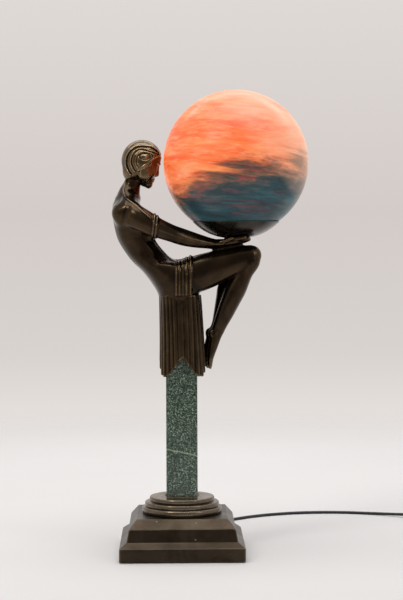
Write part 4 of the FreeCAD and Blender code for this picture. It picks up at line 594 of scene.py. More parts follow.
        def form(x, y, z):
            px, pz = np.broadcast_arrays(x[:, 0, :], z[0, :, :].reshape(1, -1))
            best = np.full(px.shape, 1e9)
            found = np.zeros((6,) + px.shape)
            g = (px - cx[0]) * nx[0] + (pz - cz[0]) * nz[0]
            for k in range(len(t) - 1):
                ahead = (px - cx[k + 1]) * nx[k + 1] + (pz - cz[k + 1]) * nz[k + 1]
                part = np.where(g != ahead, g / np.where(g != ahead, g - ahead, 1), 0)
                x0, z0, ax, az, *rest = [v[k] + part * (v[k + 1] - v[k]) for v in (cx, cz, fx, fz, cy, hf, hs, t)]
                u = (px - x0) * ax + (pz - z0) * az
                hit = (g >= 0) & (ahead < 0) & (np.abs(u) < best)
                best = np.where(hit, np.abs(u), best)
                for n, value in enumerate((u, *rest)):
                    found[n] = np.where(hit, value, found[n])
                g = ahead
            missed = best > 1e8
            for k in (0, len(t) - 1):
                gap = (px - cx[k]) * nx[k] + (pz - cz[k]) * nz[k]
                outside = missed & ((gap < 0) if k == 0 else (gap >= 0))
                u = (px - cx[k]) * fx[k] + (pz - cz[k]) * fz[k]
                nearer = outside & (np.hypot(u, gap) < best)
                for n, value in enumerate((u, cy[k], hf[k], hs[k], t[k], np.abs(gap))):
                    found[n] = np.where(nearer, value, found[n])
                best = np.where(nearer, np.hypot(u, gap), best)
            u, y0, a, b, at, over = [part[:, None, :] for part in found]
            u = u / a
            v = (y - y0) / b
            r = (np.abs(u) ** power + np.abs(v) ** power) ** (1 / power)
            d = (r - 1) * np.minimum(a, b)
            if shape is not None:
                d = d - shape(u, v, at)
            return np.where(over > 0, np.sqrt(np.maximum(d, 0) ** 2 + over * over), d)

        self.add(form, [(c - r).min() for c, r in spans], [(c + r).max() for c, r in spans], blend)


def bell(x, width):
    return np.exp(-(x / width) ** 2)


# ---------------------------------------------------------------- figure
T = COLUMN_TOP_MM
# the heights in these four tables are over T
TORSO = [
    (-29, 32, 24, 32, 30.5),
    (-32.5, 47, 25, 50, 36),
    (-42, 63, 22, 70, 39),
    (-53, 77, 8, 89, 38.5),
    (-64, 88, -11, 95, 33.5),
    (-76, 103, -21, 103, 30),
    (-87, 122, -34.5, 120, 31.5),
    (-92.3, 144, -41, 140, 34),
    (-94, 162, -50, 161, 33),
    (-91.5, 174, -58, 172, 25),
    (-84, 184, -57.5, 179, 16.5),
]
ARM = [
    (-76, -27, 160.5, 0.35, 0.95, 12.5, 9),
    (-68, -34, 156.5, 0.45, 0.9, 15.4, 12.5),
    (-52, -40.5, 148, 0.48, 0.88, 15, 12.2),
    (-35, -43, 138.6, 0.42, 0.9, 13.6, 11.4),
    (-14, -41.5, 130, 0.35, 0.94, 11.8, 10),
    (4, -37, 124, 0.25, 0.97, 11.4, 9.6),
    (24, -29, 119, 0.2, 0.98, 9.5, 8.2),
    (44, -21.5, 115.6, 0.12, 0.99, 6.8, 7.2),
    (57, -18, 115.2, 0.05, 1, 5.6, 8),
]
THIGH = [
    (4, -19, 69, -0.35, 0.94, 24, 18.5),
    (28, -19, 75.8, -0.2, 0.98, 25, 19.5),
    (55, -17.5, 84.5, -0.1, 0.99, 22.6, 17.3),
    (76, -16, 92, -0.2, 0.98, 19.4, 15.6),
    (90, -15.5, 96, -0.3, 0.95, 17.6, 14.4),
    (99, -15.5, 98.5, -0.3, 0.95, 13, 11.6),
]
SHANK = [
    (99, -15.5, 99, 0.9, -0.35, 8, 9),
    (93, -15.5, 90, 0.9, -0.35, 14.8, 13.4),
    (84.3, -15.2, 73, 0.91, -0.41, 12.6, 12),
    (75, -15, 53, 0.92, -0.4, 13.6, 12.8),
    (67, -14.2, 36, 0.92, -0.4, 12.6, 12),
    (59.6, -12.8, 19, 0.92, -0.38, 11, 10.2),
    (52.6, -10.8, 3, 0.93, -0.36, 9, 8),
    (48.2, -9.5, -8.5, 0.95, -0.3, 8.2, 6.8),
    (43.8, -8.8, -25, 0.96, -0.28, 6.6, 7.2),
    (40, -8.6, -42, 0.97, -0.2, 4.4, 7.6),
    (39.5, -8.4, -53, 1, 0, 2.8, 6.2),
    (39.5, -8.2, -57, 1, 0, 1.6, 4.4),
]
FAR_CALF_BACK = (0, 3, 9.5, 11, 7, 3.8, 1.6, 2.8, 5.2, 4, 3.8, 2.8)
BOWL_X = GLOBE_CENTRE.x / MM
GLOBE_Z = GLOBE_CENTRE.z / MM
BOWL_Z = BOWL_LOW[2] / MM
BOWL_RIM_Z = BOWL_HIGH[2] / MM
BOWL_FLAT = 13
BOWL_FOOT = (23, BOWL_Z + 1.6)
BOWL_RIM_INNER = math.sqrt(100 ** 2 - (GLOBE_Z - BOWL_RIM_Z) ** 2) + 0.4
BOWL_RIM = (BOWL_RIM_INNER + 1.5, BOWL_RIM_Z)
BOWL_BULGE = 3.1


def arc_through(start, end, bulge, steps):
    """Points on the arc from start to end that passes bulge from the chord, on its right."""
    (x0, y0), (x1, y1) = start, end
    chord = math.dist(start, end)
    radius = (chord ** 2 / 4 + bulge ** 2) / (2 * bulge)
    half = math.asin(min(1, chord / 2 / radius))
    mx, my = (x0 + x1) / 2, (y0 + y1) / 2
    nx, ny = (y1 - y0) / chord, -(x1 - x0) / chord
    cx, cy = mx - nx * (radius - bulge), my - ny * (radius - bulge)
    points = []
    for k in range(steps + 1):
        a = half * (2 * k / steps - 1)
        ax, ay = nx * math.cos(a) + -ny * math.sin(a), ny * math.cos(a) + nx * math.sin(a)
        points.append((cx + radius * ax, cy + radius * ay))
    return points


BOWL_SIDE = arc_through(BOWL_FOOT, BOWL_RIM, BOWL_BULGE, 40)


def bowl_under(x, y):
    """Height of the bowl's outer surface over this place."""
    r = math.hypot(x - BOWL_X, y)
    line = [(0, BOWL_Z), (BOWL_FLAT, BOWL_Z)] + BOWL_SIDE
    return float(np.interp(r, [p[0] for p in line], [p[1] for p in line]))


def torso_shape(u, v, t):
    """Spine, shoulder blades, waist and ribs."""
    back = eased(-u, 0.2, 0.8)
    high = eased(t, 3.2, 4.5) * (1 - eased(t, 9, 9.9))
    spine = -1.6 * bell(v, 0.1) * back * high
    beside = 0.7 * bell(np.abs(v) - 0.24, 0.14) * back * high
    blade = 1.5 * bell(np.abs(v) - 0.52, 0.2) * bell(t - 7.9, 0.8) * eased(-u, 0.1, 0.7)
    navel = -1.2 * bell(v, 0.06) * bell(t - 4.2, 0.12) * eased(u, 0.6, 0.9)
    middle = -0.8 * bell(v, 0.14) * eased(u, 0.3, 0.8) * eased(t, 4.2, 4.8) * (1 - eased(t, 6, 7))
    return spine + beside + blade + navel + middle


def add_hand(clay, side):
    """Palm under the bowl, four fingers along its underside and the thumb towards the camera's left."""
    clay.ball((58, 18.5 * side, T + 116.4), (14, 10, 5.2), 3, forward=(1, 0.06))
    clay.ball((72, 18.5 * side, T + 118.2), (13, 10, 5), 2.5, forward=(1, 0.14))
    plans = [((66, 12), (80, 11.6), (91, 11.2)), ((66, 15.8), (81, 16.8), (92.8, 17.8)),
             ((65, 19.6), (79, 21.8), (91, 24.2)), ((63, 22.8), (76, 26.4), (86.6, 30))]
    for (root, knuckle, tip), radius in zip(plans, (3.5, 3.7, 3.6, 3.3)):
        steps = []
        for part in np.linspace(0, 1, 9):
            x, y = [(1 - part) ** 2 * a + 2 * part * (1 - part) * b + part ** 2 * c
                    for a, b, c in zip(root, knuckle, tip)]
            r = radius * (1 - 0.2 * part) + 0.12 * math.sin(9 * part)
            steps.append((x, y * side, bowl_under(x, y) - 1.08 * r - 0.25, r))
        clay.chain(steps, 1.2)
    thumb = [(48, 22, T + 115.5, 3.2), (56, 26, T + 117.5, 2.8), (63, 29.5, T + 120, 2.5),
             (70, 32, T + 123, 2.1)]
    clay.chain([(x, y * side, min(z, bowl_under(x, y) - 1.15 * r - 0.3), r) for x, y, z, r in thumb], 1)


def make_body():
    clay = Clay((-103, -60, 247), (116, 60, 534), 1)
    rings = []
    for bx, bz, fx, fz, side in TORSO:
        rings.append(((bx + fx) / 2, 0, T + (bz + fz) / 2, fx - bx, fz - bz, math.hypot(fx - bx, fz - bz) / 2, side))
    clay.limb(rings, 2.15, 0, torso_shape)
    for side in (-1, 1):
        clay.ball((-46, 15 * side, T + 129), (11, 12, 11.5), 6)
        clay.ball((-80, 25 * side, T + 157), (14, 14, 15), 8)
        clay.rod((-74.5, 6 * side, T + 188), (-69, 30 * side, T + 163), 8.5, 10, 9)
        clay.rod((-61, 3 * side, T + 177), (-60, 30 * side, T + 168), 3.2, 3, 5)
    clay.limb([(-74, 0, T + 176, 1, -0.2, 16, 18), (-69.3, 0, T + 188, 1, -0.3, 13, 13.2),
               (-65.5, 0, T + 204, 1, -0.3, 11, 11.8), (-60.5, 0, T + 220, 1, -0.3, 11, 11.6)], 2, 6)
    for side in (-1, 1):
        arm = [(x, -y * side, T + z, *rest) for x, y, z, *rest in ARM]

        def crest(u, v, t):
            outer = eased(v * side, 0.2, 0.8)
            return 0.9 * bell(u + 0.05, 0.3) * outer * eased(t, 2.6, 3.4)

        clay.limb([(*station[:5], station[5] - 2, station[6] - 2) for station in arm[:4]], 1.9, 9)
        clay.limb(arm, 1.85, 3, crest)
        add_hand(clay, side)
    clay.add(lambda x, y, z: np.maximum(np.hypot(x - BOWL_X, y) - BOWL_FLAT, np.abs(z - (BOWL_Z - 1.8)) - 1.5),
             (BOWL_X - 14, -14, BOWL_Z - 4), (BOWL_X + 14, 14, BOWL_Z - 0.1), 0.6)

    def muscle(u, v, t):
        return 0.5 * bell(np.abs(v) - 0.75, 0.35) * bell(u - 0.35, 0.45) * bell(t - 2.4, 1.2)

    for side in (-1, 1):
        clay.limb([(x, -y * side, T + z, *rest) for x, y, z, *rest in THIGH], 2.05, 7, muscle)
    for side in (-1, 1):
        back = FAR_CALF_BACK if side > 0 else (0,) * len(SHANK)
        shank = [(x - shift, -y * side, T + z, *rest) for (x, y, z, *rest), shift in zip(SHANK, back)]

        def shin(u, v, t):
            ridge = 0.7 * bell(v, 0.22) * eased(u, 0.5, 0.9) * eased(t, 1.6, 2.4) * (1 - eased(t, 6.5, 7.5))
            ankle = 0.6 * bell(u + 0.1, 0.35) * eased(np.abs(v), 0.6, 0.95) * bell(t - 6.9, 0.32)
            toes = -0.8 * bell(np.abs(np.mod(v * 2.5 + 0.5, 1) - 0.5) - 0.5, 0.13) * eased(t, 9, 9.8)
            return ridge + ankle + toes

        clay.limb(shank, 2, 1.2, shin)
        clay.ball((97.7, 15.5 * side, T + 99.4), (12.6, 12.4, 13.4), 5)
        heel = 38.6 if side > 0 else 42
        clay.ball((heel, 9.6 * side, T - 8.6), (5.2, 6.2, 6.8), 2.5)

    def sash(x, y, z):
        strip = eased(x, -9.2, -7.4) * (1 - eased(x, 14.6, 16.2)) * eased(z, T + 43, T + 46)
        folds = sum(height * bell(x - place, width) for place, width, height in
                    ((-7, 1.3, 1.3), (-2.6, 1.4, 0.9), (2.2, 1.2, 0.5), (6.9, 1.4, 1), (12.6, 1.4, 1.4)))
        return strip * (0.9 + folds)

    clay.swell(sash, (-12, -60, 343), (19, 60, T + 103))
    for centre in (-2, 2):
        def band(x, y, z):
            along = (x + 35.3) * 0.99 - (z - (T + 138.8)) * 0.13 - centre
            return 1.9 * bell(along, 1.35) * eased(np.abs(y), 27, 31)
        clay.swell(band, (-47, -60, T + 118), (-22, 60, T + 160))
    trim = [(-73.6, T + 206), (-77.4, T + 196), (-78.6, T + 188), (-76.6, T + 181), (-71.6, T + 175),
            (-61.5, T + 167.8), (-51.5, T + 158.5), (-41.4, T + 149.6)]
    for side in (-1, 1):
        clay.bead(trim, 1.15, side, 0.9, 0.2)
    return clay


COLUMN_HALF, COLUMN_CLEARANCE = 21.5, 0.35
SKIRT_PLEATS = 30
SKIRT_POWER = 3.2           # how square its outline is; 2 would be an oval


def make_skirt():
    clay = Clay((-38, -40, 243), (40, 40, 361), 0.8)
    hem = T - 65.5
    top = T + 45

    def form(x, y, z):
        part = np.clip((z - hem) / (top - hem), 0, 1)
        back = -31 + 0.6 * np.sin(np.pi * part)
        front = 27.6 + 6.6 * (1 - part) ** 0.8
        deep = 34.8 - 1.6 * part
        u = (x - (front + back) / 2) / ((front - back) / 2)
        v = y / deep
        r = (np.abs(u) ** SKIRT_POWER + np.abs(v) ** SKIRT_POWER) ** (1 / SKIRT_POWER)
        turn = np.arctan2(v, u)
        run = turn / (2 * np.pi) * SKIRT_PLEATS
        run = run + 0.28 * np.sin(3 * turn + 0.7) + 0.16 * np.sin(7 * turn + 2)
        phase = np.abs(np.mod(run, 1) - 0.5) * 2
        big = np.abs(np.mod(run / 3 + 0.2, 1) - 0.5) * 2
        depth = (1.15 + 1.15 * (1 - part)) * (1 - 0.45 * eased(part, 0.86, 1))
        fold = depth * (phase ** 1.7) + 0.9 * (1 - 0.5 * part) * big ** 2
        d = (r - 1) * deep + fold
        arch_x = T - 38.5 - 28.5 * eased(np.abs(x - 1.2), -3, 25) ** 0.8
        arch_y = T - 38.5 - 28.5 * eased(np.abs(y), -3, 25) ** 0.8
        side_on = np.abs(v) > np.abs(u)
        lower = np.where(side_on, arch_x, arch_y) + 1.8 * phase ** 2
        d = -smooth_min(-d, (z - lower) * 0.75, 1.6)
        return -smooth_min(-d, -(z - top), 0.8)

    clay.add(form, (-37, -39, 244), (39, 39, 360))
    half = COLUMN_HALF + COLUMN_CLEARANCE
    clay.add(lambda x, y, z: np.maximum(np.maximum(np.abs(x), np.abs(y)) - half, z - T),
             (-half, -half, 240), (half, half, T), 0.3, cut=True)
    return clay


# the head, with its own plain face; places on the face are (forward, up) from the chin
HEAD_TURN = math.radians(20)
CHIN = (-43, T + 192)
FORWARD = (math.cos(HEAD_TURN), -math.sin(HEAD_TURN))
UPWARD = (math.sin(HEAD_TURN), math.cos(HEAD_TURN))


def on_face(a, y, c):
    return (CHIN[0] + a * FORWARD[0] + c * UPWARD[0], y, CHIN[1] + a * FORWARD[1] + c * UPWARD[1])


def add_face(clay):
    def lump(a, y, c, radii, blend, cut=False):
        clay.ball(on_face(a, y, c), radii, blend, cut, FORWARD)

    mask = []
    for c, front, back, side in ((-0.5, -2, -12, 5), (4, 0.4, -18, 9.4), (10, 0.8, -24, 13.2),
                                 (18, 1.2, -28, 16.6), (27, 1.8, -31, 18.9), (36, 2.2, -32, 19.6),
                                 (46, 1.2, -32, 19.2)):
        x, y, z = on_face((front + back) / 2, 0, c)
        mask.append((x, y, z, FORWARD[0], FORWARD[1], (front - back) / 2, side))
    clay.limb(mask, 2.1, 2)
    lump(-2.4, 0, 3.8, (4.6, 5.6, 4.4), 3)
    lump(-3.4, 0, 12.4, (5.2, 7.8, 6.6), 3)
    for side in (-1, 1):
        lump(-6, 10.5 * side, 22.5, (7, 6.5, 8.5), 5)
        lump(4.9, 7.8 * side, 31.2, (4.4, 4.7, 3.1), 2.4, cut=True)
        lump(-3.1, 7.8 * side, 30.9, (3.9, 4.2, 3.7), 0.6)
        brow = [on_face(1.3, 3 * side, 35), on_face(1.5, 7.4 * side, 36.2), on_face(-0.9, 12.6 * side, 34.8)]
        clay.chain(brow, 2.2, (1.2, 1))
        for rise, lid_radius in ((1.5, 0.55), (-1.6, 0.4)):
            lid = [on_face(-0.3, 4.2 * side, 30.9), on_face(0.55, 6.4 * side, 30.9 + rise),
                   on_face(0.45, 9 * side, 30.9 + rise), on_face(-1, 11.6 * side, 30.8)]
            clay.chain(lid, 0.5, (lid_radius, lid_radius))
        lump(2.2, 2.5 * side, 19.6, (2.2, 1.8, 1.8), 1.1)
    bridge = [(-0.2, 34, 2.1), (0.6, 29.5, 2.1), (2, 24.5, 2.5), (3.1, 21.2, 2.7)]
    clay.chain([(*on_face(a, 0, c), r) for a, c, r in bridge], 1.8)
    clay.rod(on_face(3.1, 0, 20.6), on_face(0.6, 0, 18.2), 1.9, 1.5, 1.2)
    for side in (-1, 1):
        lump(2.9, 1.5 * side, 18.1, (1, 0.6, 0.7), 0.4, cut=True)
        upper = [on_face(-0.3, 5.4 * side, 12.1), on_face(1, 3 * side, 12.8), on_face(1.5, 1 * side, 13.1),
                 on_face(1.4, 0, 12.9)]
        clay.chain(upper, 0.9, (0.8, 1.1))
        lower = [on_face(-0.2, 5.1 * side, 11.4), on_face(0.8, 2.7 * side, 10.7), on_face(1.1, 0, 10.5)]
        clay.chain(lower, 0.9, (0.7, 1.3))
        crease = [on_face(0.9, 5.4 * side, 11.9), on_face(2.2, 2.4 * side, 11.85), on_face(2.6, 0, 11.75)]
        clay.chain(crease, 0.3, (0.3, 0.3), cut=True)


EAR = (-48.9, T + 234.5)
BRIM = [(-24.8, T + 239.4), (-33.6, T + 233.6), (-44, T + 226.6), (-52, T + 220.6), (-58, T + 215.8)]
TIP_TURN = math.atan2(BRIM[0][1] - EAR[1], BRIM[0][0] - EAR[0])
BRIM_NORMAL = (-0.587, 0.809)       # (x, z), square to the brim
WAVES = [   # turn round the ear from the brim's tip, how far out the line runs there
    ((0, 21.4), (0.35, 19.4), (0.8, 17.3), (1.37, 15.8), (2.1, 19.5), (2.94, 26), (3.5, 30), (4.1, 33)),
    ((0, 20), (0.15, 16.8), (0.5, 12.4), (1.37, 11.2), (2.25, 15.4), (2.94, 19.2), (3.55, 23.2), (4.1, 26)),
    ((0, 12.5), (0.5, 8.8), (1.37, 7), (2.25, 8.8), (2.94, 11.8), (3.55, 16), (4.1, 20)),
]


def over_brim(x, z):
    return (x - BRIM[0][0]) * BRIM_NORMAL[0] + (z - BRIM[0][1]) * BRIM_NORMAL[1]


def make_head():
    clay = Clay((-86, -29, T + 176), (-23.4, 29, T + 262), 0.5)
    clay.limb([(-73.5, 0, T + 178.5, 1, -0.15, 13, 15.2), (-69.2, 0, T + 190, 1, -0.3, 12.2, 12.4),
               (-65, 0, T + 204, 1, -0.3, 10.8, 11.6), (-59, 0, T + 220, 1, -0.3, 11, 12)])
    clay.ball((-54.5, 0, T + 228), (23.5, 20.6, 27), 3)
    add_face(clay)

    def hair(x, y, z):
        r = np.sqrt(((x + 53.5) / 28.2) ** 2 + (y / 23.6) ** 2 + ((z - (T + 230)) / 28.8) ** 2)
        d = (r - 1) * 23.6
        nape = np.sqrt(((x + 66) / 13.5) ** 2 + (y / 17) ** 2 + ((z - (T + 213)) / 13) ** 2)
        d = smooth_min(d, (nape - 1) * 13, 5)
        behind = -(x + 57 + 0.25 * (z - (T + 215)))
        return -smooth_min(-d, np.maximum(over_brim(x, z), behind), 1.2)

    clay.add(hair, (-84, -27, T + 198), (-24, 27, T + 260), 0.4)
    for side in (-1, 1):
        clay.ball((-50, 17 * side, T + 213), (8.6, 5.2, 11.5), 1.5, forward=(1, 0))
        clay.ball((EAR[0], 21.4 * side, EAR[1]), (3.8, 2.6, 2.7), 0.8, forward=(1, -0.2))

    def waves(x, y, z):
        dx, dz = x - EAR[0], z - EAR[1]
        rho = np.sqrt(dx * dx + dz * dz)
        turn = np.mod(np.arctan2(dz, dx) - TIP_TURN + 0.3, 2 * np.pi) - 0.3
        above = eased(over_brim(x, z), 0, 2)
        lift = 0
        for line, height in zip(WAVES, (1.05, 0.95, 0.75)):
            gap = rho - curve_through(turn, line, 1)
            lift = lift + height * bell(gap, 0.9) - 0.85 * height * bell(gap + 2.1, 1)
        ring = np.sqrt((dx / 6.6) ** 2 + (dz / 4.4) ** 2)
        lift = lift - 0.9 * bell((ring - 1) * 5, 1.1)
        return lift * above * eased(np.abs(y), 3, 9)

    clay.swell(waves, (-84, -28, T + 200), (-24, 28, T + 261))
    for side in (-1, 1):
        clay.bead(BRIM, 1.1, side, 0.8, 0.3)
        for k in range(11):
            x = -55 + 1.5 * k
            high = T + 217 + 0.72 * (x + 55)
            low = T + 205 + 0.12 * (k - 4) ** 2
            clay.bead([(x, high), (x + 0.5, (high + low) / 2), (x - 0.1 * (k - 5), low)], 0.62, side, 0.5, 0.45, 6)
    clearance = GLOBE_RADIUS / MM + 0.4
    clay.add(lambda x, y, z: np.sqrt((x - BOWL_X) ** 2 + y * y + (z - GLOBE_Z) ** 2) - clearance,
             (-26, -28, T + 210), (-23.4, 28, T + 245), cut=True)
    return clay


# ---------------------------------------------------------------- turned and square pieces
CORNER_STEPS = 4


def rounded_line(points, radii):
    """The same line with its corners rounded."""
    result = []
    for k, (here, radius) in enumerate(zip(points, radii)):
        if radius <= 0:
            result.append(here)
            continue
        corner = Vector(here)
        a, b = Vector(points[k - 1]) - corner, Vector(points[k + 1]) - corner
        reach = min(radius / math.tan(a.angle(b) / 2), 0.45 * a.length, 0.45 * b.length)
        start, end = corner + a.normalized() * reach, corner + b.normalized() * reach
        for s in range(CORNER_STEPS + 1):
            t = s / CORNER_STEPS
            result.append(tuple(start * (1 - t) ** 2 + corner * 2 * t * (1 - t) + end * t * t))
    return result


def supported(points, near):
    """Adds a point close to both ends of every long straight stretch."""
    result = []
    for a, b in zip(points, points[1:]):
        result.append(a)
        long = math.dist(a, b)
        if long > 3 * near:
            for part in (near / long, 1 - near / long):
                result.append((a[0] + (b[0] - a[0]) * part, a[1] + (b[1] - a[1]) * part))
    return result + [points[-1]]


def ring_mesh(name, verts, rings, capped=False):
    """Surface over rings of points, from the last back to the first or capped at both ends."""
    faces = []
    for low, high in zip(rings, rings[1:] + ([] if capped else rings[:1])):
        for k in range(len(low)):
            n = (k + 1) % len(low)
            face = [low[k], low[n], high[n], high[k]]
            faces.append([v for i, v in enumerate(face) if v != face[i - 1]])
    faces = [face for face in faces if len(face) > 2]
    obj = link_mesh(name, verts, faces + ([rings[0], rings[-1]] if capped else []))
    mesh = bmesh.new()
    mesh.from_mesh(obj.data)
    bmesh.ops.recalc_face_normals(mesh, faces=mesh.faces)
    mesh.to_mesh(obj.data)
    mesh.free()
    return obj


def lathe(name, profile, x, segments):
    """Turned form about an upright axis at x. profile: a closed line of (radius, height) in millimetres."""
    verts, rings = [], []
    for r, z in profile:
        if r < 1e-6:
            rings.append([len(verts)] * segments)
            verts.append((x * MM, 0, z * MM))
            continue
        rings.append(range(len(verts), len(verts) + segments))
        for k in range(segments):
            a = 2 * math.pi * k / segments
            verts.append(((x + r * math.cos(a)) * MM, r * math.sin(a) * MM, z * MM))
    return ring_mesh(name, verts, rings)


SIDE_POINTS, CORNER_POINTS = 14, 4


def square_loop(half, corner):
    """Outline of a square with small round corners; the same number of points for every size."""
    points = []
    corner = min(corner, half)
    straight = half - corner
    near = [1 - 1.6 / straight, 1 - 5 / straight]
    stops = [-1] + [-t for t in near] + [-0.9 + 1.8 * n / SIDE_POINTS for n in range(1, SIDE_POINTS)] + near
    for k in range(4):
        a0 = math.pi / 2 * k
        c, s = math.cos(a0), math.sin(a0)
        for t in sorted(stops):
            points.append((half * c - straight * t * s, half * s + straight * t * c))
        cx, cy = straight * (c - s), straight * (s + c)
        for n in range(CORNER_POINTS):
            a = a0 + math.pi / 2 * n / CORNER_POINTS
            points.append((cx + corner * math.cos(a), cy + corner * math.sin(a)))
    return points


def round_loop(radius):
    """A round outline with its points opposite those of a square one."""
    turns = [math.atan2(y, x) for x, y in square_loop(100, 2)]
    return [(radius * math.cos(a), radius * math.sin(a)) for a in turns]


def square_stack(name, outer, inner, corner, rough=0):
    """Square block with a hollow. outer and inner: (half side or -radius, height), joined at both ends."""
    verts, rings = [], []
    rng = np.random.default_rng(3)
    for half, z in outer + inner[::-1]:
        loop = square_loop(half, corner) if half > 0 else round_loop(-half)
        rings.append(range(len(verts), len(verts) + len(loop)))
        for x, y in loop:
            nudge = rng.normal(0, rough, 3) if rough else (0, 0, 0)
            verts.append([(value + move) * MM for value, move in zip((x, y, z), nudge)])
    return ring_mesh(name, verts, rings)


TUBE_HOLE = 5.3             # radius of the hole for the threaded tube, in the disc and in the bowl
BASE_PROFILE = [(84, 1), (85, 1.8), (85, 18.8), (75.3, 26.2), (72.3, 42.6), (61.5, 55.5), (5.5, 55.5)]
BASE_ROUND = [0, 0.6, 1.3, 0.9, 1.2, 1.6, 0]
BASE_INSIDE = [(79.4, 1), (79.4, 3), (76.4, 3), (76.4, 13), (69, 20), (66, 36.5), (55, 50.5),
               (-5.5, 50.5)]
DISC_RINGS = [(55.3, 4.4), (51.5, 3.2), (45, 3.5)]
DISC_ROUND = 0.55
DISC_Z = 55.5
GROOVE_DEPTH, GROOVE_HEIGHT = 0.8, 0.1


def make_base():
    outer = supported(rounded_line(BASE_PROFILE, BASE_ROUND), 1.6)
    obj = square_stack("base", outer, BASE_INSIDE, 1.6, 0.02)
    finish_piece(obj, "base", LAMP, "patinated_bronze", "base_casting")


def make_disc():
    profile = [(TUBE_HOLE, DISC_Z)]
    z = DISC_Z
    for k, (radius, half) in enumerate(DISC_RINGS):
        foot = radius - DISC_ROUND * half
        for s in range(17):
            a = math.pi * (s / 16 - 0.5)
            profile.append((foot + DISC_ROUND * half * math.cos(a) ** 0.8 if s not in (0, 16) else foot,
                            z + half + half * math.sin(a)))
        z += 2 * half
        if k < len(DISC_RINGS) - 1:
            next_radius, next_half = DISC_RINGS[k + 1]
            inner = next_radius - DISC_ROUND * next_half - GROOVE_DEPTH
            profile += [(inner, z), (inner, z + GROOVE_HEIGHT)]
            z += GROOVE_HEIGHT
    profile.append((TUBE_HOLE, z))
    obj = lathe("disc", profile, 0, 192)
    finish_piece(obj, "disc", LAMP, "patinated_bronze", "stepped_disc")


def make_column():
    half = (COLUMN_HIGH[0] - COLUMN_LOW[0]) / 2 / MM
    low, high = COLUMN_LOW[2] / MM, COLUMN_HIGH[2] / MM
    outer = supported([(half - 0.6, low), (half, low + 0.6), (half, high - 0.6), (half - 0.6, high)], 1.5)
    obj = square_stack("column", outer, [(-6, low), (-6, high)], 0.8)
    finish_piece(obj, "marble", LAMP, "green_marble", "marble_column")


def make_globe():
    radius = GLOBE_RADIUS / MM
    wall = GLOBE_WALL / MM
    mouth = MOUTH_Z / MM - GLOBE_Z
    profile = []
    for r, order in ((radius, 1), (radius - wall, -1)):
        start = math.asin(mouth / r)
        turns = [start + (math.pi / 2 - start) * s / 90 for s in range(91)]
        arc = [(r * math.cos(a), GLOBE_Z + r * math.sin(a)) for a in turns]
        arc[-1] = (0, GLOBE_Z + r)
        profile += arc[::order]
    obj = lathe("globe", profile, BOWL_X, 180)
    finish_piece(obj, "globe", GLOBE_BODY, "shade_glass", "glass_globe")


def make_bowl():
    inside = [(BOWL_RIM_INNER, BOWL_RIM_Z), (44, BOWL_Z + 12), (40.2, BOWL_Z + 12), (22, BOWL_Z + 3.6),
              (BOWL_FLAT, BOWL_Z + 2.4), (TUBE_HOLE, BOWL_Z + 2.4)]
    rim = rounded_line(BOWL_SIDE[-2:] + inside[:2], [0, 0.45, 0.45, 0])
    profile = [(TUBE_HOLE, BOWL_Z), (BOWL_FLAT, BOWL_Z)] + BOWL_SIDE[:-1] + rim[1:] + inside[2:]
    obj = lathe("bowl", profile, BOWL_X, 192)
    finish_piece(obj, "bowl", LAMP, "patinated_bronze", "shade_bowl")


def make_figure():
    finish_piece(make_body().mesh("figure"), "figure", LAMP, "patinated_bronze",
                 "figure_torso", "right_arm", "left_arm", "right_leg", "left_leg")
    finish_piece(make_skirt().mesh("skirt"), "skirt", LAMP, "patinated_bronze", "figure_skirt")
    finish_piece(make_head().mesh("head"), "head", LAMP, "patinated_bronze", "figure_head")


# ---------------------------------------------------------------- the plug's body, moulded in one with its relief
PLUG_POINTS = 96            # in each ring


def make_plug():
    """Lofted body: (y, half width, half height, roundness) from the relief to the face."""
    x, y, z = [value / MM for value in PLUG_PLACE]
    low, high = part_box("plug_body")
    face_y = low[1] / MM
    half = (high[0] - low[0]) / 2 / MM
    tall = (high[2] - low[2]) / 2 / MM
    relief = y - 20
    rows = [(y, 3.2, 3.2, 2), (y - 0.3, 3.25, 3.25, 2)]
    for n in range(6):
        top = y - 1 - 3 * n
        grow = 3.3 + 0.24 * n
        rows += [(top, grow, grow, 2), (top - 1.7, grow + 0.1, grow + 0.1, 2),
                 (top - 1.9, grow - 0.5, grow - 0.5, 2), (top - 2.7, grow - 0.5, grow - 0.5, 2)]
    rows += [(relief, 5.2, 4.8, 2.2), (relief - 1, 7.4, 5.8, 2.8), (relief - 5, 10.5, 6.3, 3.5),
             (relief - 10, 14.6, tall - 0.2, 4.5), (relief - 14, half, tall, 5),
             (face_y + 6, half - 0.4, tall, 5), (face_y + 1.2, half - 1, tall - 0.1, 5),
             (face_y + 0.3, half - 1.5, tall - 0.7, 5), (face_y, half - 2.4, tall - 1.6, 5)]
    verts, rings = [], []
    for py, w, h, power in rows:
        rings.append(range(len(verts), len(verts) + PLUG_POINTS))
        for k in range(PLUG_POINTS):
            a = 2 * math.pi * k / PLUG_POINTS
            c, s = math.cos(a), math.sin(a)
            scale = (abs(c) ** power + abs(s) ** power) ** (-1 / power)
            verts.append(((x + w * c * scale) * MM, py * MM, (z + h * s * scale) * MM))
    obj = ring_mesh("plug", verts, rings, capped=True)
    finish_piece(obj, "plastic", LAMP, "black_plastic", "plug_body")


# ---------------------------------------------------------------- surroundings
FLOOR_SOLID, FLOOR_END = 0.95, 2      # where the floor starts to fade, and is gone
FLOOR_SIDES = 128


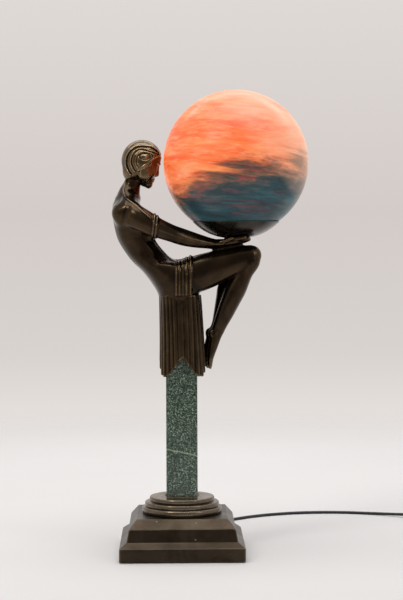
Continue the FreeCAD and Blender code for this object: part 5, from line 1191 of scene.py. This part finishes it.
def make_floor():
    """A pale round floor that fades out into the surroundings."""
    floor = Nodes("floor")
    cloud = floor.ramp(floor.noise(1.5), [(0.3, (0.96, 0.96, 0.96)), (0.7, (1, 1, 1))])
    x, y = floor.axis("X"), floor.axis("Y")
    # painted light and shade: the floor is darker towards the front and paler towards the back
    floor_painted_shade = floor.ramp(floor.spread(y, -1, 1.4), [
        (0, (0.715, 0.69, 0.672)), (0.35, (0.79, 0.763, 0.745)), (0.62, (0.85, 0.822, 0.803)),
        (0.9, (0.95, 0.92, 0.9))])
    reach = floor.math("SQRT", floor.plus(floor.times(x, x), floor.times(y, y)))
    shown = floor.ramp(floor.spread(reach, FLOOR_SOLID, FLOOR_END),
                       [(0, (1, 1, 1)), (1, (0, 0, 0))], "EASE")
    floor.shade(Base_Color=floor.mix(1, floor_painted_shade, cloud, "MULTIPLY"), Alpha=shown, Roughness=0.75)
    turns = [2 * math.pi * k / FLOOR_SIDES for k in range(FLOOR_SIDES)]
    verts = [(FLOOR_END * math.cos(a), FLOOR_END * math.sin(a), 0) for a in turns]
    plane = link_mesh("floor", verts, [range(FLOOR_SIDES)], False)
    plane.data.materials.append(floor.owner)


def make_world():
    """Soft light from all round; the eye and the shiny pieces see a pale room, darker behind the camera."""
    w = Nodes("world", True)
    w.shade(Color=(0.95, 0.96, 1), Strength=0.3)
    room = w.ramp(w.spread(w.axis("Z"), -0.2, 0.2), [
        (0, (0.86, 0.82, 0.795)), (0.2, (0.815, 0.775, 0.75)), (0.33, (0.69, 0.65, 0.625)),
        (0.55, (0.648, 0.597, 0.578)), (0.9, (0.745, 0.7, 0.672))])
    behind = w.spread(w.axis("Y"), -0.95, -0.35, 0.4, 1, interpolation_type="SMOOTHSTEP")
    seen = w.add("ShaderNodeBackground", {"Color": room, "Strength": behind})
    rays = w.add("ShaderNodeLightPath").outputs
    either = w.math("MAXIMUM", rays["Is Camera Ray"], rays["Is Glossy Ray"])
    either = w.math("MAXIMUM", either, rays["Is Transmission Ray"])
    both = w.add("ShaderNodeMixShader", {0: either, 1: w.shader.outputs[0], 2: seen.outputs[0]})
    w.put(both.outputs[0], w.tree.nodes["World Output"].inputs["Surface"])
    bpy.context.scene.world = w.owner


LIGHTS = (   # name, place, target, size, power, colour
    ("key", (-1.3, -1.3, 2), (0, 0, 0.4), (0.5, 0.6), 10, (1, 0.98, 0.95)),
    ("fill", (1.6, -1.2, 1.3), (0.05, 0, 0.35), (0.4, 0.8), 3.5, (0.97, 0.98, 1)),
    ("top", (0, -0.3, 2.2), (0, -0.15, 0.3), (1.8, 1.4), 31, (1, 1, 1)),
    ("back", (0.1, 1.3, 2), (0.1, 1.3, 0), (3.4, 0.5), 14, (1, 1, 1)),
)


def make_lights():
    for name, place, target, size, power, colour in LIGHTS:
        data = bpy.data.lights.new(name, "AREA")
        data.shape = "RECTANGLE"
        data.size, data.size_y = size
        data.energy, data.color = power, colour
        lamp = link_object(name, data)
        lamp.location = place
        lamp.rotation_euler = (Vector(target) - Vector(place)).to_track_quat("-Z", "Y").to_euler()


# ---------------------------------------------------------------- everything in place
dress_cad()
flex.data.materials.append(MATERIALS["flex"])
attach(flex, LAMP)
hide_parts("cord_lead", "cord_tail", "cord_coil")
make_base()
make_disc()
make_column()
make_globe()
make_bowl()
make_plug()
make_figure()
make_floor()
make_world()
make_lights()

bpy.context.scene.view_settings.view_transform = "Standard"
